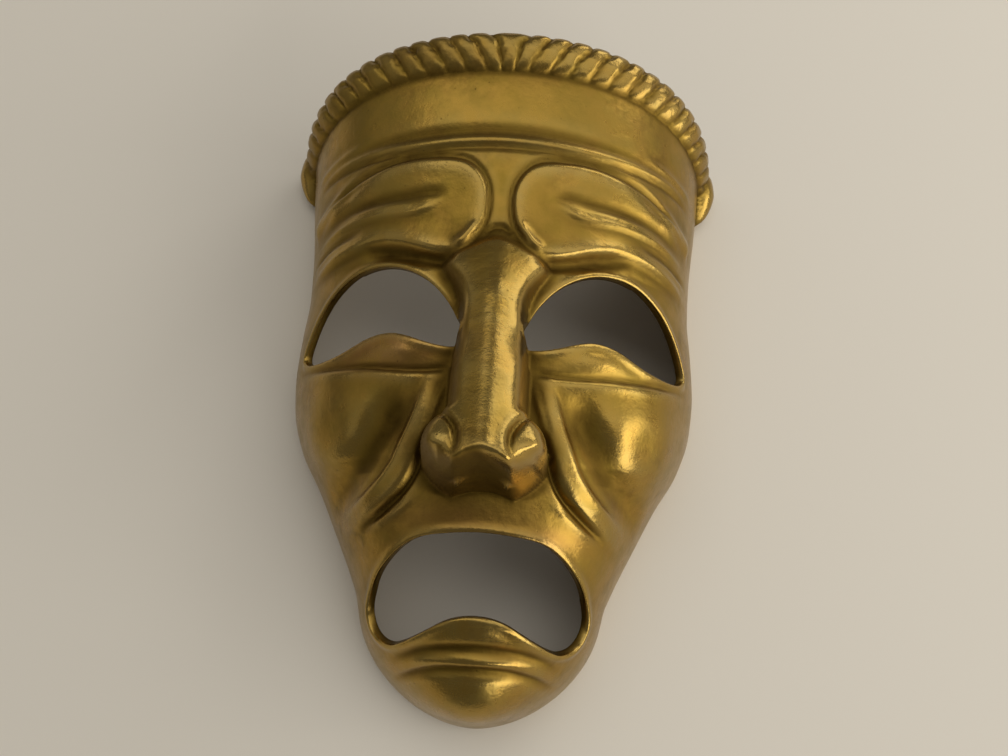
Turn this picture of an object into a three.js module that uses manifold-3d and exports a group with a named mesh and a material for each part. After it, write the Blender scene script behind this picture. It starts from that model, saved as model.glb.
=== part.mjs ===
// A theatre mask with a sorrowful face: a hollow cast shell that lies face up on its back rim.
// Its eyes and mouth are open, its top end is open too, and a rope border runs round that end.
// Axes: +X to the viewer's right, +Y up the face to the forehead, +Z out of the face. Millimetres.
import * as THREE from 'three';
import { mergeVertices } from 'three/addons/utils/BufferGeometryUtils.js';
import Module from 'manifold-3d';

const wasm = await Module();
wasm.setup();

// A place on the skin is a pair (s, b): s runs over the skin from the middle line towards the
// back rim, b runs up the face from the inner corners of the eyes.

// Form of the shell, as pairs of a height b and a size there
const HALF_WIDTH = [[-66, 37.2], [-62, 38.8], [-50, 44.8], [-38, 51], [-26, 58], [-14, 61.8], [-2, 62.9],
  [10, 62.4], [22, 61.5], [34, 62], [52, 64], [66, 65.3], [76, 66.3]];
const DEPTH = [[-66, 43.5], [-50, 46], [-38, 48], [-20, 49.5], [0, 50.5], [20, 52], [40, 53.5],
  [60, 54.5], [76, 54.8]];
const CHIN_B = -66;
const CHIN_LENGTH = 35.6;
const CHIN_ROUNDNESS = 1.8;
const TOP_B = 74.5;
const LEAN = 0.32;
const LEAN_FROM = 20;
const LEAN_LENGTH = 58;
const SQUARER = { share: 0.024, from: 45, length: 20 };

// The stretch of skin that is made, a little more than the shell, and how closely it is set with
// points: rows along the lines of the face, an even field between them and few out of sight
const SKIN_SIDE = 97;
const SKIN_TOP = 86;
const SKIN_BOTTOM = -132;
const SKIN_EDGE = 3;
const FIELD_STEP = 1.5;
const SPACING = { nose: 3.6, face: 5.5, plain: 9, hidden: 22, inside: 9 };
const PAST_RIM = 8;
const NOSE_FIELD = { s: 17, from: -44, to: 22 };
const FACE_FIELD = { s: 62, to: 56 };
const LEAST_ROOM = 1.15;
const ROW_STEP = { line: 2.4, broad: 4.5, rim: 3.2, nose: 3, inside: 6, wing: 2 };
const NOSE_ROWS = [0, 0.2, 0.6, 1.02];
const BROAD_WIDTH = 3;
const RIM_ROW = 1.7;
const DEEP = 200;

// Nose: height of its ridge over the back rim and half width of its foot, by height b
const NOSE_RIDGE = [[-44, 77], [-37, 76], [-30, 73.5], [-20, 70], [-10, 67], [0, 64.2], [8, 62.2],
  [16, 59.2], [20, 56.8], [25, 53]];
const NOSE_FOOT = [[-43, 16.5], [-38, 16.4], [-33, 15.2], [-27, 12.4], [-20, 10], [-10, 9.2], [0, 8.2],
  [7, 8.6], [13, 10.6], [20, 14.5], [25, 15]];
const NOSE_ROOT = { b: 26, drop: 5, side: 15, length: 5 };
const NOSE_TIP_B = -37;
const NOSE_UNDERSIDE = 6.5;
const RIDGE_ROUNDING = 0.35;
const WING = { s: 10.8, b: -31, ds: 4.2, db: 6.5, height: 3 };
const WING_DROP = 2.6;
const WING_SIDE = 16;
const WING_EDGE = [[11, -21.8], [7.6, -23.4], [6.1, -27], [6.6, -31.2], [9.2, -35.2]];
const WING_GROOVE = { width: 0.7, in: 0.15, out: 0.2 };
const NOSTRIL = { x: 5.6, z: 63, dx: 2.6, dz: 3.2, depth: 2 };

// The inside follows the broad forms only, and more metal stands behind the carved grooves
const WALL = 2.4;
const INSIDE = { swelling: 0.8, narrower: 1.25, lower: 3.2, nose: 0.93, noseWall: 1.5 };
const BACKING = { share: 0.7, wider: 2.5 };

// Rounded swellings: cheeks, chin, lower lids, lower lip
const SWELLINGS = [
  { s: 43, b: -24, ds: 15, db: 13, height: 3.2 },
  { s: 0, b: -100, ds: 17, db: 10.5, height: 3.4 },
  { s: 25, b: -4, ds: 11, db: 4.2, height: 1.5 },
  { s: 0, b: -76, ds: 16, db: 3.5, height: 1 },
];

// Lines of the face. A fold is raised to the left of its line and sinks back over its reach.
const LOBE = [[16, 21.3], [10.5, 22.8], [6.3, 26.5], [3.6, 31], [2.8, 35.5], [3.6, 39.6], [6, 42.8],
  [10, 45], [17, 46], [27, 46.4], [37, 45.8], [47, 44.4], [57, 41.8], [68, 38.5]];
const LID_CREASE = [[9.5, -9.3], [15, -10.2], [22, -10], [31, -9], [41, -8.1], [52, -7.1], [66, -5.8]];
const LEAST_WIDTH = 0.9;
const LINES = [
  { kind: 'groove', size: 0.9, width: 1.3, out: 0.35,
    line: [[-3, 50.9], [12, 50.9], [25, 51.2], [40, 51.8], [55, 52.3], [68, 52.4]] },
  { kind: 'groove', size: 0.8, width: 0.7, out: 0.25,
    line: [[-3, 47.6], [20, 47.6], [32, 48.2], [45, 49.1], [57, 49.9], [68, 49.8]] },
  { kind: 'fold', size: 2.2, width: 0.55, in: 0.3, out: 0.06, reach: 5, line: [...LOBE].reverse() },
  { kind: 'groove', size: 0.9, width: 1, in: 0.06, out: 0.3, line: LOBE },
  { kind: 'fold', size: 1.2, width: 0.4, in: 0.25, out: 0.3, reach: 2.2,
    line: [[15.5, 35.7], [18.5, 34.3], [24, 33.6], [31, 34.1], [39, 34.6], [47, 34.2], [56, 33.1],
      [68, 32.2]] },
  { kind: 'groove', size: 0.9, width: 1.7, in: 0.15, out: 0.3,
    line: [[13.5, 38.4], [18, 38], [25, 37.9], [33, 38], [42, 37.6], [52, 36.2], [66, 34.4]] },
  { kind: 'fold', size: 2.6, width: 0.5, in: 0.04, out: 0.3, reach: 4.5,
    line: [[11, 22.6], [17, 23.6], [23, 25.3], [30, 26.9], [38, 27.3], [47, 26.5], [57, 25], [70, 24.2]] },
  { kind: 'groove', size: 0.7, width: 1, in: 0.3, out: 0.3,
    line: [[38, 31.6], [48, 31.2], [58, 30.2], [70, 29.3]] },
  { kind: 'groove', size: 2.4, width: 2, in: 0.12, out: 0.3,
    line: [[9, 21.8], [14, 21.2], [20, 22.4], [26, 24], [33, 25.3], [40, 25.6]] },
  { kind: 'fold', size: 1.3, width: 0.35, in: 0.35, out: 0.1, reach: 3.5, line: [...LID_CREASE].reverse() },
  { kind: 'groove', size: 1, width: 1.1, in: 0.06, out: 0.35, line: LID_CREASE },
  { kind: 'ridge', size: 2.3, width: 2.9, in: 0.3, out: 0.35,
    line: [[11, -9], [12.6, -15], [14.8, -22], [17.4, -29], [20.6, -35.5], [25.5, -41], [32, -45.3],
      [40, -48.5], [50, -51]] },
  { kind: 'groove', size: 1.5, width: 1.1, in: 0.1, out: 0.3,
    line: [[13.6, -24], [15.6, -30], [17.6, -36], [20.4, -40.2], [25, -44.3], [31, -47.6],
      [38, -51.2]] },
  { kind: 'groove', size: 2, width: 5, in: 0.25, out: 0.35,
    line: [[17, -13], [20, -20], [23.5, -28], [29, -35.5], [37, -41], [47, -44.5], [58, -47]] },
  { kind: 'groove', size: 1.2, width: 2, out: 0.45,
    line: [[-3, -82.2], [8, -82.7], [16, -84.2], [24, -87.5], [32, -92]] },
  { kind: 'ridge', size: 0.6, width: 1.3, out: 0.45,
    line: [[-3, -84.8], [8, -85], [15, -85.8], [23, -88.2], [32, -93]] },
  { kind: 'groove', size: 1.1, width: 1.3, out: 0.45,
    line: [[-3, -88], [8, -88.4], [15, -90], [23, -93.4], [32, -99]] },
];

// Openings, as outlines on the skin, and how far their cuts reach out of it and into it
const EYE = [[7.4, 0], [9.3, 5], [12, 9.6], [16, 14.2], [21, 17.8], [27, 20.2], [33.5, 20.9], [40, 20.1],
  [46, 17.8], [51.5, 14.4], [56.5, 9.6], [60.5, 4.4], [63, -0.8], [60, -3.4], [55, -4.4], [49, -4.5],
  [43, -3.7], [38, -2.2], [33.5, -0.4], [29, 0.7], [25, 0.7], [21, -0.4], [16.5, -2.1], [12, -3.3],
  [8.6, -3.2], [7.4, 0]];
const MOUTH = [[0, -51.6], [9, -52.1], [16.5, -53.2], [22, -55.5], [27.5, -59], [32.5, -62.8], [36.5, -67],
  [39, -71.5], [39.3, -75.5], [37.3, -79.8], [33.5, -82.8], [28.5, -83.8], [23.5, -82.3], [18.5, -79.8],
  [14, -77.3], [9.5, -74.8], [5, -73.3], [0, -72.8]];
const EYE_CORNERS = 36;
const MOUTH_CORNERS = 44;
const CUT_OUT = 8;
const CUT_IN = 12;
const CUT_PEAK = 25;
const CUT_FLOOR = 26;

// Rope border: strands laid side by side over the skin, and a smooth leaf at each end
const ROPE_B = 70;
const STRAND_PITCH = 6.4;
const STRANDS_EACH_SIDE = 15;
const STRAND_STEPS = 4;
const ROPE_SIDES = 8;
const ROPE_ROUTE_SIDE = 115;
const ROPE = { across: 4.9, up: 4.1, lift: 0.2, slant: 27, groove: 0.24 };
const LEAF = { fromRim: 4.6, b: 69, along: 4.6, across: 8.7, up: 6 };
const LEAF_SIDES = 12;
const LEAF_RINGS = 8;

const TRIM_BLOCK = 500;
const CURVE_STEPS = 6;
const BRASS = { color: 0x9c7a35, roughness: 0.38, metalness: 1 };

// Curves and blends

// a smooth curve through a table of pairs, level before its first and after its last
function profile(table) {
  const step = (i) => (table[i + 1][1] - table[i][1]) / (table[i + 1][0] - table[i][0]);
  const slope = table.map((pair, i) => {
    if (i === 0) return step(0);
    if (i === table.length - 1) return step(i - 1);
    return step(i - 1) * step(i) <= 0 ? 0 : 2 * step(i - 1) * step(i) / (step(i - 1) + step(i));
  });
  return (x) => {
    const at = THREE.MathUtils.clamp(x, table[0][0], table.at(-1)[0]);
    let i = 0;
    while (i < table.length - 2 && at > table[i + 1][0]) i++;
    const length = table[i + 1][0] - table[i][0];
    const t = (at - table[i][0]) / length;
    const u = 1 - t;
    return table[i][1] * (1 + 2 * t) * u * u + table[i + 1][1] * t * t * (1 + 2 * u)
      + length * t * u * (slope[i] * u - slope[i + 1] * t);
  };
}

const halfWidth = profile(HALF_WIDTH);
const depth = profile(DEPTH);
const noseRidge = profile(NOSE_RIDGE);
const noseFoot = profile(NOSE_FOOT);

const ease = (t) => THREE.MathUtils.smoothstep(t, 0, 1);
const bell = (t) => Math.exp(-t * t);

// the larger of two numbers, with a rounded change from one to the other
function blendedMax(p, q, rounding) {
  const t = THREE.MathUtils.clamp(0.5 + 0.5 * (p - q) / rounding, 0, 1);
  return q + (p - q) * t + rounding * t * (1 - t);
}

// length of a quarter of an ellipse
function quarterArc(p, q) {
  const k = ((p - q) / (p + q)) ** 2;
  return Math.PI * (p + q) * (1 + 3 * k / (10 + Math.sqrt(4 - 3 * k))) / 4;
}

const asCurve = (points) => new THREE.SplineCurve(points.map(([s, b]) => new THREE.Vector2(s, b)));

// distance from a line of the face, more than 0 on its left, the place along it from 0 to 1
// and the point of the line that is nearest
function lineFinder(points) {
  const path = asCurve(points).getPoints((points.length - 1) * CURVE_STEPS);
  const pieces = path.slice(1).map((end, i) => ({ start: path[i], run: end.clone().sub(path[i]) }));
  const total = pieces.reduce((sum, piece) => sum + piece.run.length(), 0);
  let passed = 0;
  for (const piece of pieces) {
    piece.from = passed / total;
    piece.share = piece.run.length() / total;
    passed += piece.run.length();
  }
  return (s, b) => {
    let nearest = Infinity;
    let side = 1;
    let place = 0;
    const foot = { s, b };
    for (const { start, run, from, share } of pieces) {
      const ds = s - start.x;
      const db = b - start.y;
      const t = THREE.MathUtils.clamp((ds * run.x + db * run.y) / run.lengthSq(), 0, 1);
      const away = (ds - t * run.x) ** 2 + (db - t * run.y) ** 2;
      if (away < nearest) {
        nearest = away;
        side = run.x * db - run.y * ds >= 0 ? 1 : -1;
        place = from + t * share;
        foot.s = start.x + t * run.x;
        foot.b = start.y + t * run.y;
      }
    }
    return { away: side * Math.sqrt(nearest), place, foot };
  };
}

// The plain skin

// size of the half oval through a place: how far the place lies from the oval's middle, how far
// the back rim lies, measured over the skin and measured flat, and the oval's height
function oval(s, b) {
  const middle = Math.max(b, CHIN_B);
  const width = halfWidth(middle);
  const height = depth(middle);
  const down = middle - b;
  const away = Math.hypot(s, down) + 1e-9;
  if (down === 0) return { middle, down, away, height, overSkin: quarterArc(width, height), flat: width };
  const mix = (across, along) => ((Math.abs(s) / away / across) ** CHIN_ROUNDNESS
    + (down / away / along) ** CHIN_ROUNDNESS) ** (-1 / CHIN_ROUNDNESS);
  const overSkin = mix(quarterArc(width, height), quarterArc(CHIN_LENGTH, height));
  return { middle, down, away, height, overSkin, flat: mix(width, CHIN_LENGTH) };
}

// a point of the plain skin, its oval a little squarer near the top; past the back rim the skin
// goes straight down
function skinPoint(a, b) {
  const { middle, down, away, height, overSkin, flat } = oval(a, b);
  const turn = Math.min(away / overSkin, 1) * Math.PI / 2;
  const squarer = SQUARER.share * Math.sin(2 * turn) ** 2 * ease((b - SQUARER.from) / SQUARER.length);
  const z = away > overSkin ? overSkin - away : height * Math.cos(turn) * (1 + squarer);
  const out = flat * Math.sin(turn) / away * (1 + squarer);
  const lean = LEAN * ease((b - LEAN_FROM) / LEAN_LENGTH);
  return new THREE.Vector3(a * out, middle - down * out + lean * z, z);
}

function skinNormal(a, b) {
  const e = 0.05;
  const across = skinPoint(a + e, b).sub(skinPoint(a - e, b));
  const along = skinPoint(a, b + e).sub(skinPoint(a, b - e));
  return across.cross(along).normalize();
}

const offSkin = (a, b, distance) => skinPoint(a, b).addScaledVector(skinNormal(a, b), distance);

// The carved face

const lines = LINES.map((entry) => ({ in: 0, ...entry, find: lineFinder(entry.line) }));
const wingEdge = lineFinder(WING_EDGE);

function swelling({ s, b, ds, db, height }, atS, atB) {
  return height * bell((atS - s) / ds) * bell((atB - b) / db);
}

const swellings = (s, b) => SWELLINGS.reduce((sum, entry) => sum + swelling(entry, s, b), 0);
const fades = (place, fadeIn, fadeOut) => (fadeIn ? ease(place / fadeIn) : 1) * ease((1 - place) / fadeOut);

// height of the carving over the plain skin, measured out of the skin
function carving(s, b) {
  let height = 0;
  for (const { kind, size, width, reach, in: fadeIn, out: fadeOut, find } of lines) {
    const { away, place } = find(s, b);
    const strength = size * fades(place, fadeIn, fadeOut);
    if (kind === 'groove') height -= strength * bell(away / Math.max(width, LEAST_WIDTH));
    if (kind === 'ridge') height += strength * bell(away / Math.max(width, LEAST_WIDTH));
    if (kind === 'fold') {
      const step = 1 / (1 + Math.exp(-2.2 * away / Math.max(width, LEAST_WIDTH)));
      height += strength * step * Math.exp(-Math.max(away, 0) / reach);
    }
  }
  return height + swellings(s, b);
}

// the upper and the lower edge of the nose
const noseTop = (s) => NOSE_ROOT.b - NOSE_ROOT.drop * ease(s / NOSE_ROOT.side);
const noseBottom = (s) => NOSE_TIP_B - WING_DROP * ease(s / WING_SIDE);

// height of the nose over the plain skin, measured along +Z
function noseHeight(s, b, skinZ) {
  const rounded = (part) => Math.hypot(part, RIDGE_ROUNDING) - RIDGE_ROUNDING;
  const fall = rounded(s / noseFoot(b)) / rounded(1);
  const ridge = noseRidge(b);
  const { away, place } = wingEdge(s, b);
  const edge = fades(place, WING_GROOVE.in, WING_GROOVE.out) * bell(away / WING_GROOVE.width);
  const roof = ridge - (ridge - skinZ) * fall + swelling(WING, s, b) - edge
    - NOSE_UNDERSIDE * blendedMax(noseBottom(s) - b, 0, 1);
  return blendedMax((roof - skinZ) * ease((noseTop(s) - b) / NOSE_ROOT.length), 0, 0.8) - 0.2;
}

function facePoint(a, b) {
  const s = Math.abs(a);
  const plain = skinPoint(a, b);
  const point = plain.clone().addScaledVector(skinNormal(a, b), carving(s, b));
  point.z += noseHeight(s, b, plain.z);
  const across = (Math.abs(point.x) - NOSTRIL.x) / NOSTRIL.dx;
  const fromNostril = Math.hypot(across, (point.z - NOSTRIL.z) / NOSTRIL.dz);
  point.y += NOSTRIL.depth * Math.exp(-(fromNostril ** 3)) * ease(NOSE_TIP_B - point.y);
  return point;
}

// extra metal behind the carved grooves
function backing(s, b) {
  const grooves = lines.filter(({ kind }) => kind === 'groove');
  const behind = ({ size, width, find }) => size * bell(find(s, b).away / (width + BACKING.wider));
  return BACKING.share * grooves.reduce((sum, groove) => sum + behind(groove), 0);
}

// the inside of the shell: the face again, a wall's thickness deeper and with its broad forms only
function insidePoint(a, b) {
  const s = Math.abs(a);
  const plain = skinPoint(a, b);
  const deeper = WALL + backing(s, b) - INSIDE.swelling * swellings(s, b);
  const point = plain.clone().addScaledVector(skinNormal(a, b), -deeper);
  const roof = noseHeight(s * INSIDE.narrower, b - INSIDE.lower, plain.z);
  point.z += Math.max(0, roof - INSIDE.noseWall) * INSIDE.nose;
  return point;
}

// Solids

function solidOf(geometry) {
  const plain = geometry.clone();
  plain.deleteAttribute('normal');
  plain.deleteAttribute('uv');
  const merged = mergeVertices(plain, 1e-5);
  return new wasm.Manifold(new wasm.Mesh({
    numProp: 3,
    vertProperties: new Float32Array(merged.attributes.position.array),
    triVerts: new Uint32Array(merged.index.array),
  }));
}

function insideOutline(outline) {
  const loop = asCurve(outline).getPoints(outline.length * CURVE_STEPS);
  return (s, b) => loop.reduce((inside, p, i) => {
    const q = loop[(i + 1) % loop.length];
    const crosses = (p.y > b) !== (q.y > b) && s < p.x + (b - p.y) / (q.y - p.y) * (q.x - p.x);
    return crosses ? !inside : inside;
  }, false);
}

const inEye = insideOutline(EYE);
const inMouth = insideOutline([...MOUTH, [-1, -62]]);
const onShell = (a, b) => {
  const s = Math.abs(a);
  const { away, overSkin } = oval(s, b);
  return away < overSkin + PAST_RIM && !inEye(s, b) && !inMouth(s, b);
};

// a row of places beside a line of the face, at an offset to its left
function rowBeside(points, offset, step) {
  const curve = asCurve(points);
  const count = Math.max(2, Math.round(curve.getLength() / step));
  return Array.from({ length: count + 1 }, (_, i) => {
    const along = curve.getTangentAt(i / count);
    return curve.getPointAt(i / count).add(new THREE.Vector2(-along.y, along.x).multiplyScalar(offset));
  });
}

// rows on the middles of grooves and ridges and on the crests of folds
function mainRows() {
  return LINES.flatMap(({ kind, width, line }) => {
    const step = width > BROAD_WIDTH ? ROW_STEP.broad : ROW_STEP.line;
    return rowBeside(line, kind === 'fold' ? 1.3 * Math.max(width, LEAST_WIDTH) : 0, step);
  });
}

// rows at the feet of grooves, ridges and folds
function sideRows() {
  return LINES.flatMap(({ kind, width, reach, line }) => {
    const broad = width > BROAD_WIDTH;
    const away = (broad ? 1 : 1.6) * Math.max(width, LEAST_WIDTH);
    const step = broad ? ROW_STEP.broad : ROW_STEP.line;
    const offsets = kind === 'fold' ? [-away, away + reach] : [-away, away];
    return offsets.flatMap((offset) => rowBeside(line, offset, step));
  });
}

function noseRows(parts, step) {
  const rows = [];
  for (let b = NOSE_ROOT.b; b > NOSE_TIP_B; b -= step) {
    rows.push(...parts.map((part) => new THREE.Vector2(part * noseFoot(b), b)));
  }
  return rows;
}

function noseBottomRows(step, above) {
  const rows = [];
  for (let s = 0; s <= WING_SIDE; s += step) {
    rows.push(...[0, 2.4, 4.9].map((drop) => new THREE.Vector2(s, noseBottom(s) + above - drop)));
  }
  return rows;
}

function outsideRows() {
  return [
    ...noseRows(NOSE_ROWS, ROW_STEP.nose),
    ...noseBottomRows(ROW_STEP.line, 0),
    ...mainRows(),
    ...[0, 1.3, -1.3].flatMap((offset) => rowBeside(WING_EDGE, offset, ROW_STEP.wing)),
    ...[EYE, MOUTH].flatMap((outline) => rowBeside(outline, RIM_ROW, ROW_STEP.rim)),
    ...sideRows(),
  ];
}

function spacingAt(s, b) {
  if (!onShell(s, b)) return SPACING.hidden;
  if (s < NOSE_FIELD.s && b > NOSE_FIELD.from && b < NOSE_FIELD.to) return SPACING.nose;
  return s < FACE_FIELD.s && b < FACE_FIELD.to ? SPACING.face : SPACING.plain;
}

// the places of a skin's points: the rows first, then an even field that keeps its distance
function placesOf(rows, roomAt) {
  const kept = [];
  const offer = (s, b, room) => {
    const at = new THREE.Vector2(s < LEAST_ROOM / 2 ? 0 : s, b);
    const offSide = at.x > SKIN_SIDE - SKIN_EDGE;
    if (offSide || at.y > SKIN_TOP - SKIN_EDGE || at.y < SKIN_BOTTOM + SKIN_EDGE) return;
    const clearOfMirror = at.x === 0 || at.x >= room / 2;
    if (clearOfMirror && kept.every((other) => other.distanceTo(at) >= room)) kept.push(at);
  };
  for (const { x, y } of rows) {
    if (x > -LEAST_ROOM / 2) offer(x, y, LEAST_ROOM);
  }
  for (let row = 0; SKIN_BOTTOM + row * FIELD_STEP < SKIN_TOP; row++) {
    const b = SKIN_BOTTOM + row * FIELD_STEP;
    for (let s = (row % 2) * FIELD_STEP / 2; s < SKIN_SIDE; s += FIELD_STEP) offer(s, b, roomAt(s, b));
  }
  // a shift too small to see keeps four neighbours from lying on one circle
  const shift = (i) => 0.002 * Math.sin(12.9898 * i);
  const right = kept.map(({ x, y }, i) => new THREE.Vector2(x && x + shift(i), y + shift(i + 0.5)));
  const left = right.filter(({ x }) => x > 0).map(({ x, y }) => new THREE.Vector2(-x, y));
  const corner = (side, b) => new THREE.Vector2(side * SKIN_SIDE, b);
  const corners = [-1, 1].flatMap((side) => [corner(side, SKIN_TOP), corner(side, SKIN_BOTTOM)]);
  return [...right, ...left, ...corners];
}

// triangles between places, such that no place lies in the circle round a triangle
function triangulate(places) {
  const far = [[-1, -1], [1, -1], [0, 1]].map(([x, y]) => new THREE.Vector2(x, y).multiplyScalar(1e6));
  const all = [...places, ...far];
  const withCircle = (i, j, k) => {
    const [p, q, r] = [all[i], all[j], all[k]];
    const [qx, qy, rx, ry] = [q.x - p.x, q.y - p.y, r.x - p.x, r.y - p.y];
    const twice = 2 * (qx * ry - qy * rx);
    const x = (ry * (qx * qx + qy * qy) - qy * (rx * rx + ry * ry)) / twice;
    const y = (qx * (rx * rx + ry * ry) - rx * (qx * qx + qy * qy)) / twice;
    return { corners: [i, j, k], x: p.x + x, y: p.y + y, reach: x * x + y * y };
  };
  let triangles = [withCircle(places.length, places.length + 1, places.length + 2)];
  places.forEach((place, i) => {
    const rim = new Map();
    triangles = triangles.filter(({ corners: [p, q, r], x, y, reach }) => {
      if ((place.x - x) ** 2 + (place.y - y) ** 2 > reach) return true;
      for (const [u, v] of [[p, q], [q, r], [r, p]]) {
        if (!rim.delete(`${v},${u}`)) rim.set(`${u},${v}`, [u, v]);
      }
      return false;
    });
    for (const [u, v] of rim.values()) triangles.push(withCircle(u, v, i));
  });
  const onPlaces = ({ corners }) => corners.every((i) => i < places.length);
  return triangles.filter(onPlaces).map(({ corners }) => corners);
}

// a skin over its places, closed below by a fan to one deep point
function skinSolid(pointAt, places) {
  const points = [...places.map(({ x, y }) => pointAt(x, y)), new THREE.Vector3(0, 0, -DEEP)];
  const triangles = triangulate(places);
  const sides = new Set(triangles.flatMap(([p, q, r]) => [`${p},${q}`, `${q},${r}`, `${r},${p}`]));
  for (const side of sides) {
    const [p, q] = side.split(',').map(Number);
    if (!sides.has(`${q},${p}`)) triangles.push([q, p, places.length]);
  }
  const geometry = new THREE.BufferGeometry().setFromPoints(points);
  geometry.setIndex(triangles.flat());
  return solidOf(geometry.toNonIndexed());
}

// a block with the outline of an opening, bent to stand out of the skin all round
function openingSolid(outline, corners, side) {
  const rim = asCurve(outline).getSpacedPoints(corners).slice(0, corners);
  const middle = rim.reduce((sum, p) => sum.add(p), new THREE.Vector2()).divideScalar(corners);
  const block = new THREE.CylinderGeometry(1, 1, 2, corners, 1);
  const place = block.attributes.position;
  for (let i = 0; i < place.count; i++) {
    const outer = place.getY(i) > 0;
    const onRim = Math.hypot(place.getX(i), place.getZ(i)) > 0.5;
    const turn = Math.atan2(place.getX(i), place.getZ(i)) / (2 * Math.PI);
    const { x: s, y: b } = onRim ? rim[(Math.round(turn * corners) + corners) % corners] : middle;
    const rimReach = outer ? CUT_OUT : -CUT_IN;
    const middleReach = outer ? CUT_PEAK : -CUT_FLOOR;
    const point = offSkin(side * s, b, onRim ? rimReach : middleReach);
    place.setXYZ(i, point.x, point.y, point.z);
  }
  const solid = solidOf(block);
  if (solid.volume() > 0) return solid;
  block.index.array.reverse();
  return solidOf(block);
}

// the directions at a place on the skin: across the face, up the face and out of the skin
function skinFrame(a, b, distance) {
  const out = skinNormal(a, b);
  const up = skinPoint(a, b + 0.05).sub(skinPoint(a, b - 0.05)).normalize();
  const side = up.clone().cross(out).normalize();
  return new THREE.Matrix4().makeBasis(side, up, out).setPosition(offSkin(a, b, distance));
}

// a round bar over the skin with its ends below the rim, its surface ridged in slanting strands
function ropeSolid() {
  const reach = (STRANDS_EACH_SIDE + 0.5) * STRAND_PITCH;
  const route = new THREE.CatmullRomCurve3(
    Array.from({ length: 61 }, (_, i) => skinPoint(ROPE_ROUTE_SIDE * (i / 30 - 1), ROPE_B)));
  route.arcLengthDivisions = 1000;
  const length = route.getLength();
  const slant = Math.tan(THREE.MathUtils.degToRad(ROPE.slant));
  const rings = (2 * STRANDS_EACH_SIDE + 1) * STRAND_STEPS;
  const bar = new THREE.CylinderGeometry(1, 1, 1, ROPE_SIDES, rings);
  const place = bar.attributes.position;
  for (let i = 0; i < place.count; i++) {
    const ring = Math.round((place.getY(i) + 0.5) * rings);
    const middle = ring * STRAND_PITCH / STRAND_STEPS - reach;
    const round = Math.cos(Math.PI * (ring / STRAND_STEPS - Math.round(ring / STRAND_STEPS)));
    const swell = 1 - ROPE.groove * round * round * round;
    const across = -ROPE.across * place.getX(i);
    const along = middle + slant * across * THREE.MathUtils.clamp(middle / STRAND_PITCH, -1, 1);
    const t = route.getUtoTmapping(0.5 + along / length);
    const point = new THREE.Vector3(0, across * Math.sqrt(swell), ROPE.up * swell * place.getZ(i));
    point.applyMatrix4(skinFrame(ROPE_ROUTE_SIDE * (2 * t - 1), ROPE_B, ROPE.lift));
    place.setXYZ(i, point.x, point.y, point.z);
  }
  return solidOf(bar);
}

function leafSolid(side) {
  const end = oval(SKIN_SIDE, ROPE_B).overSkin - LEAF.fromRim;
  const leaf = new THREE.SphereGeometry(1, LEAF_SIDES, LEAF_RINGS);
  leaf.scale(LEAF.along, LEAF.across, LEAF.up);
  return solidOf(leaf.applyMatrix4(skinFrame(side * end, LEAF.b, 0)));
}

// blocks that cut the shell off at its back rim and at its leaning top end
function trimSolids() {
  const floor = new THREE.BoxGeometry(TRIM_BLOCK, TRIM_BLOCK, TRIM_BLOCK).translate(0, 0, -TRIM_BLOCK / 2);
  const end = new THREE.BoxGeometry(TRIM_BLOCK, TRIM_BLOCK, TRIM_BLOCK).translate(0, TRIM_BLOCK / 2, 0);
  end.rotateX(-Math.atan(LEAN)).translate(0, TOP_B, 0);
  return [floor, end].map(solidOf);
}

function maskSolid() {
  const wholeMouth = [...MOUTH, ...MOUTH.slice(0, -1).reverse().map(([s, b]) => [-s, b])];
  const outside = placesOf(outsideRows(), spacingAt);
  const insideRows = [
    ...noseBottomRows(ROW_STEP.inside, INSIDE.lower),
    ...noseRows([0, 0.8], ROW_STEP.inside),
  ];
  const inside = placesOf(insideRows, (s, b) => (onShell(s, b) ? SPACING.inside : SPACING.hidden));
  let solid = skinSolid(facePoint, outside);
  for (const piece of [ropeSolid(), leafSolid(-1), leafSolid(1)]) solid = solid.add(piece);
  solid = solid.subtract(skinSolid(insidePoint, inside));
  for (const side of [-1, 1]) solid = solid.subtract(openingSolid(EYE, EYE_CORNERS, side));
  solid = solid.subtract(openingSolid(wholeMouth, MOUTH_CORNERS, 1));
  for (const block of trimSolids()) solid = solid.subtract(block);
  return solid;
}

function maskGeometry() {
  const { vertProperties, triVerts } = maskSolid().getMesh();
  const geometry = new THREE.BufferGeometry();
  geometry.setAttribute('position', new THREE.BufferAttribute(vertProperties, 3));
  geometry.setIndex(new THREE.BufferAttribute(triVerts, 1));
  geometry.computeBoundingBox();
  const { min, max } = geometry.boundingBox;
  return geometry.translate(-(min.x + max.x) / 2, -(min.y + max.y) / 2, -min.z);
}

const group = new THREE.Group();
const mask = new THREE.Mesh(maskGeometry(), new THREE.MeshStandardMaterial(BRASS));
mask.name = 'mask';
group.add(mask);

export default group;
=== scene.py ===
"""A cast brass theatre mask of a sorrowful face, lying face up on a pale floor."""

import math

import bpy
import numpy as np
from bpy.props import FloatProperty, FloatVectorProperty, PointerProperty
from mathutils import Matrix, Vector


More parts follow.
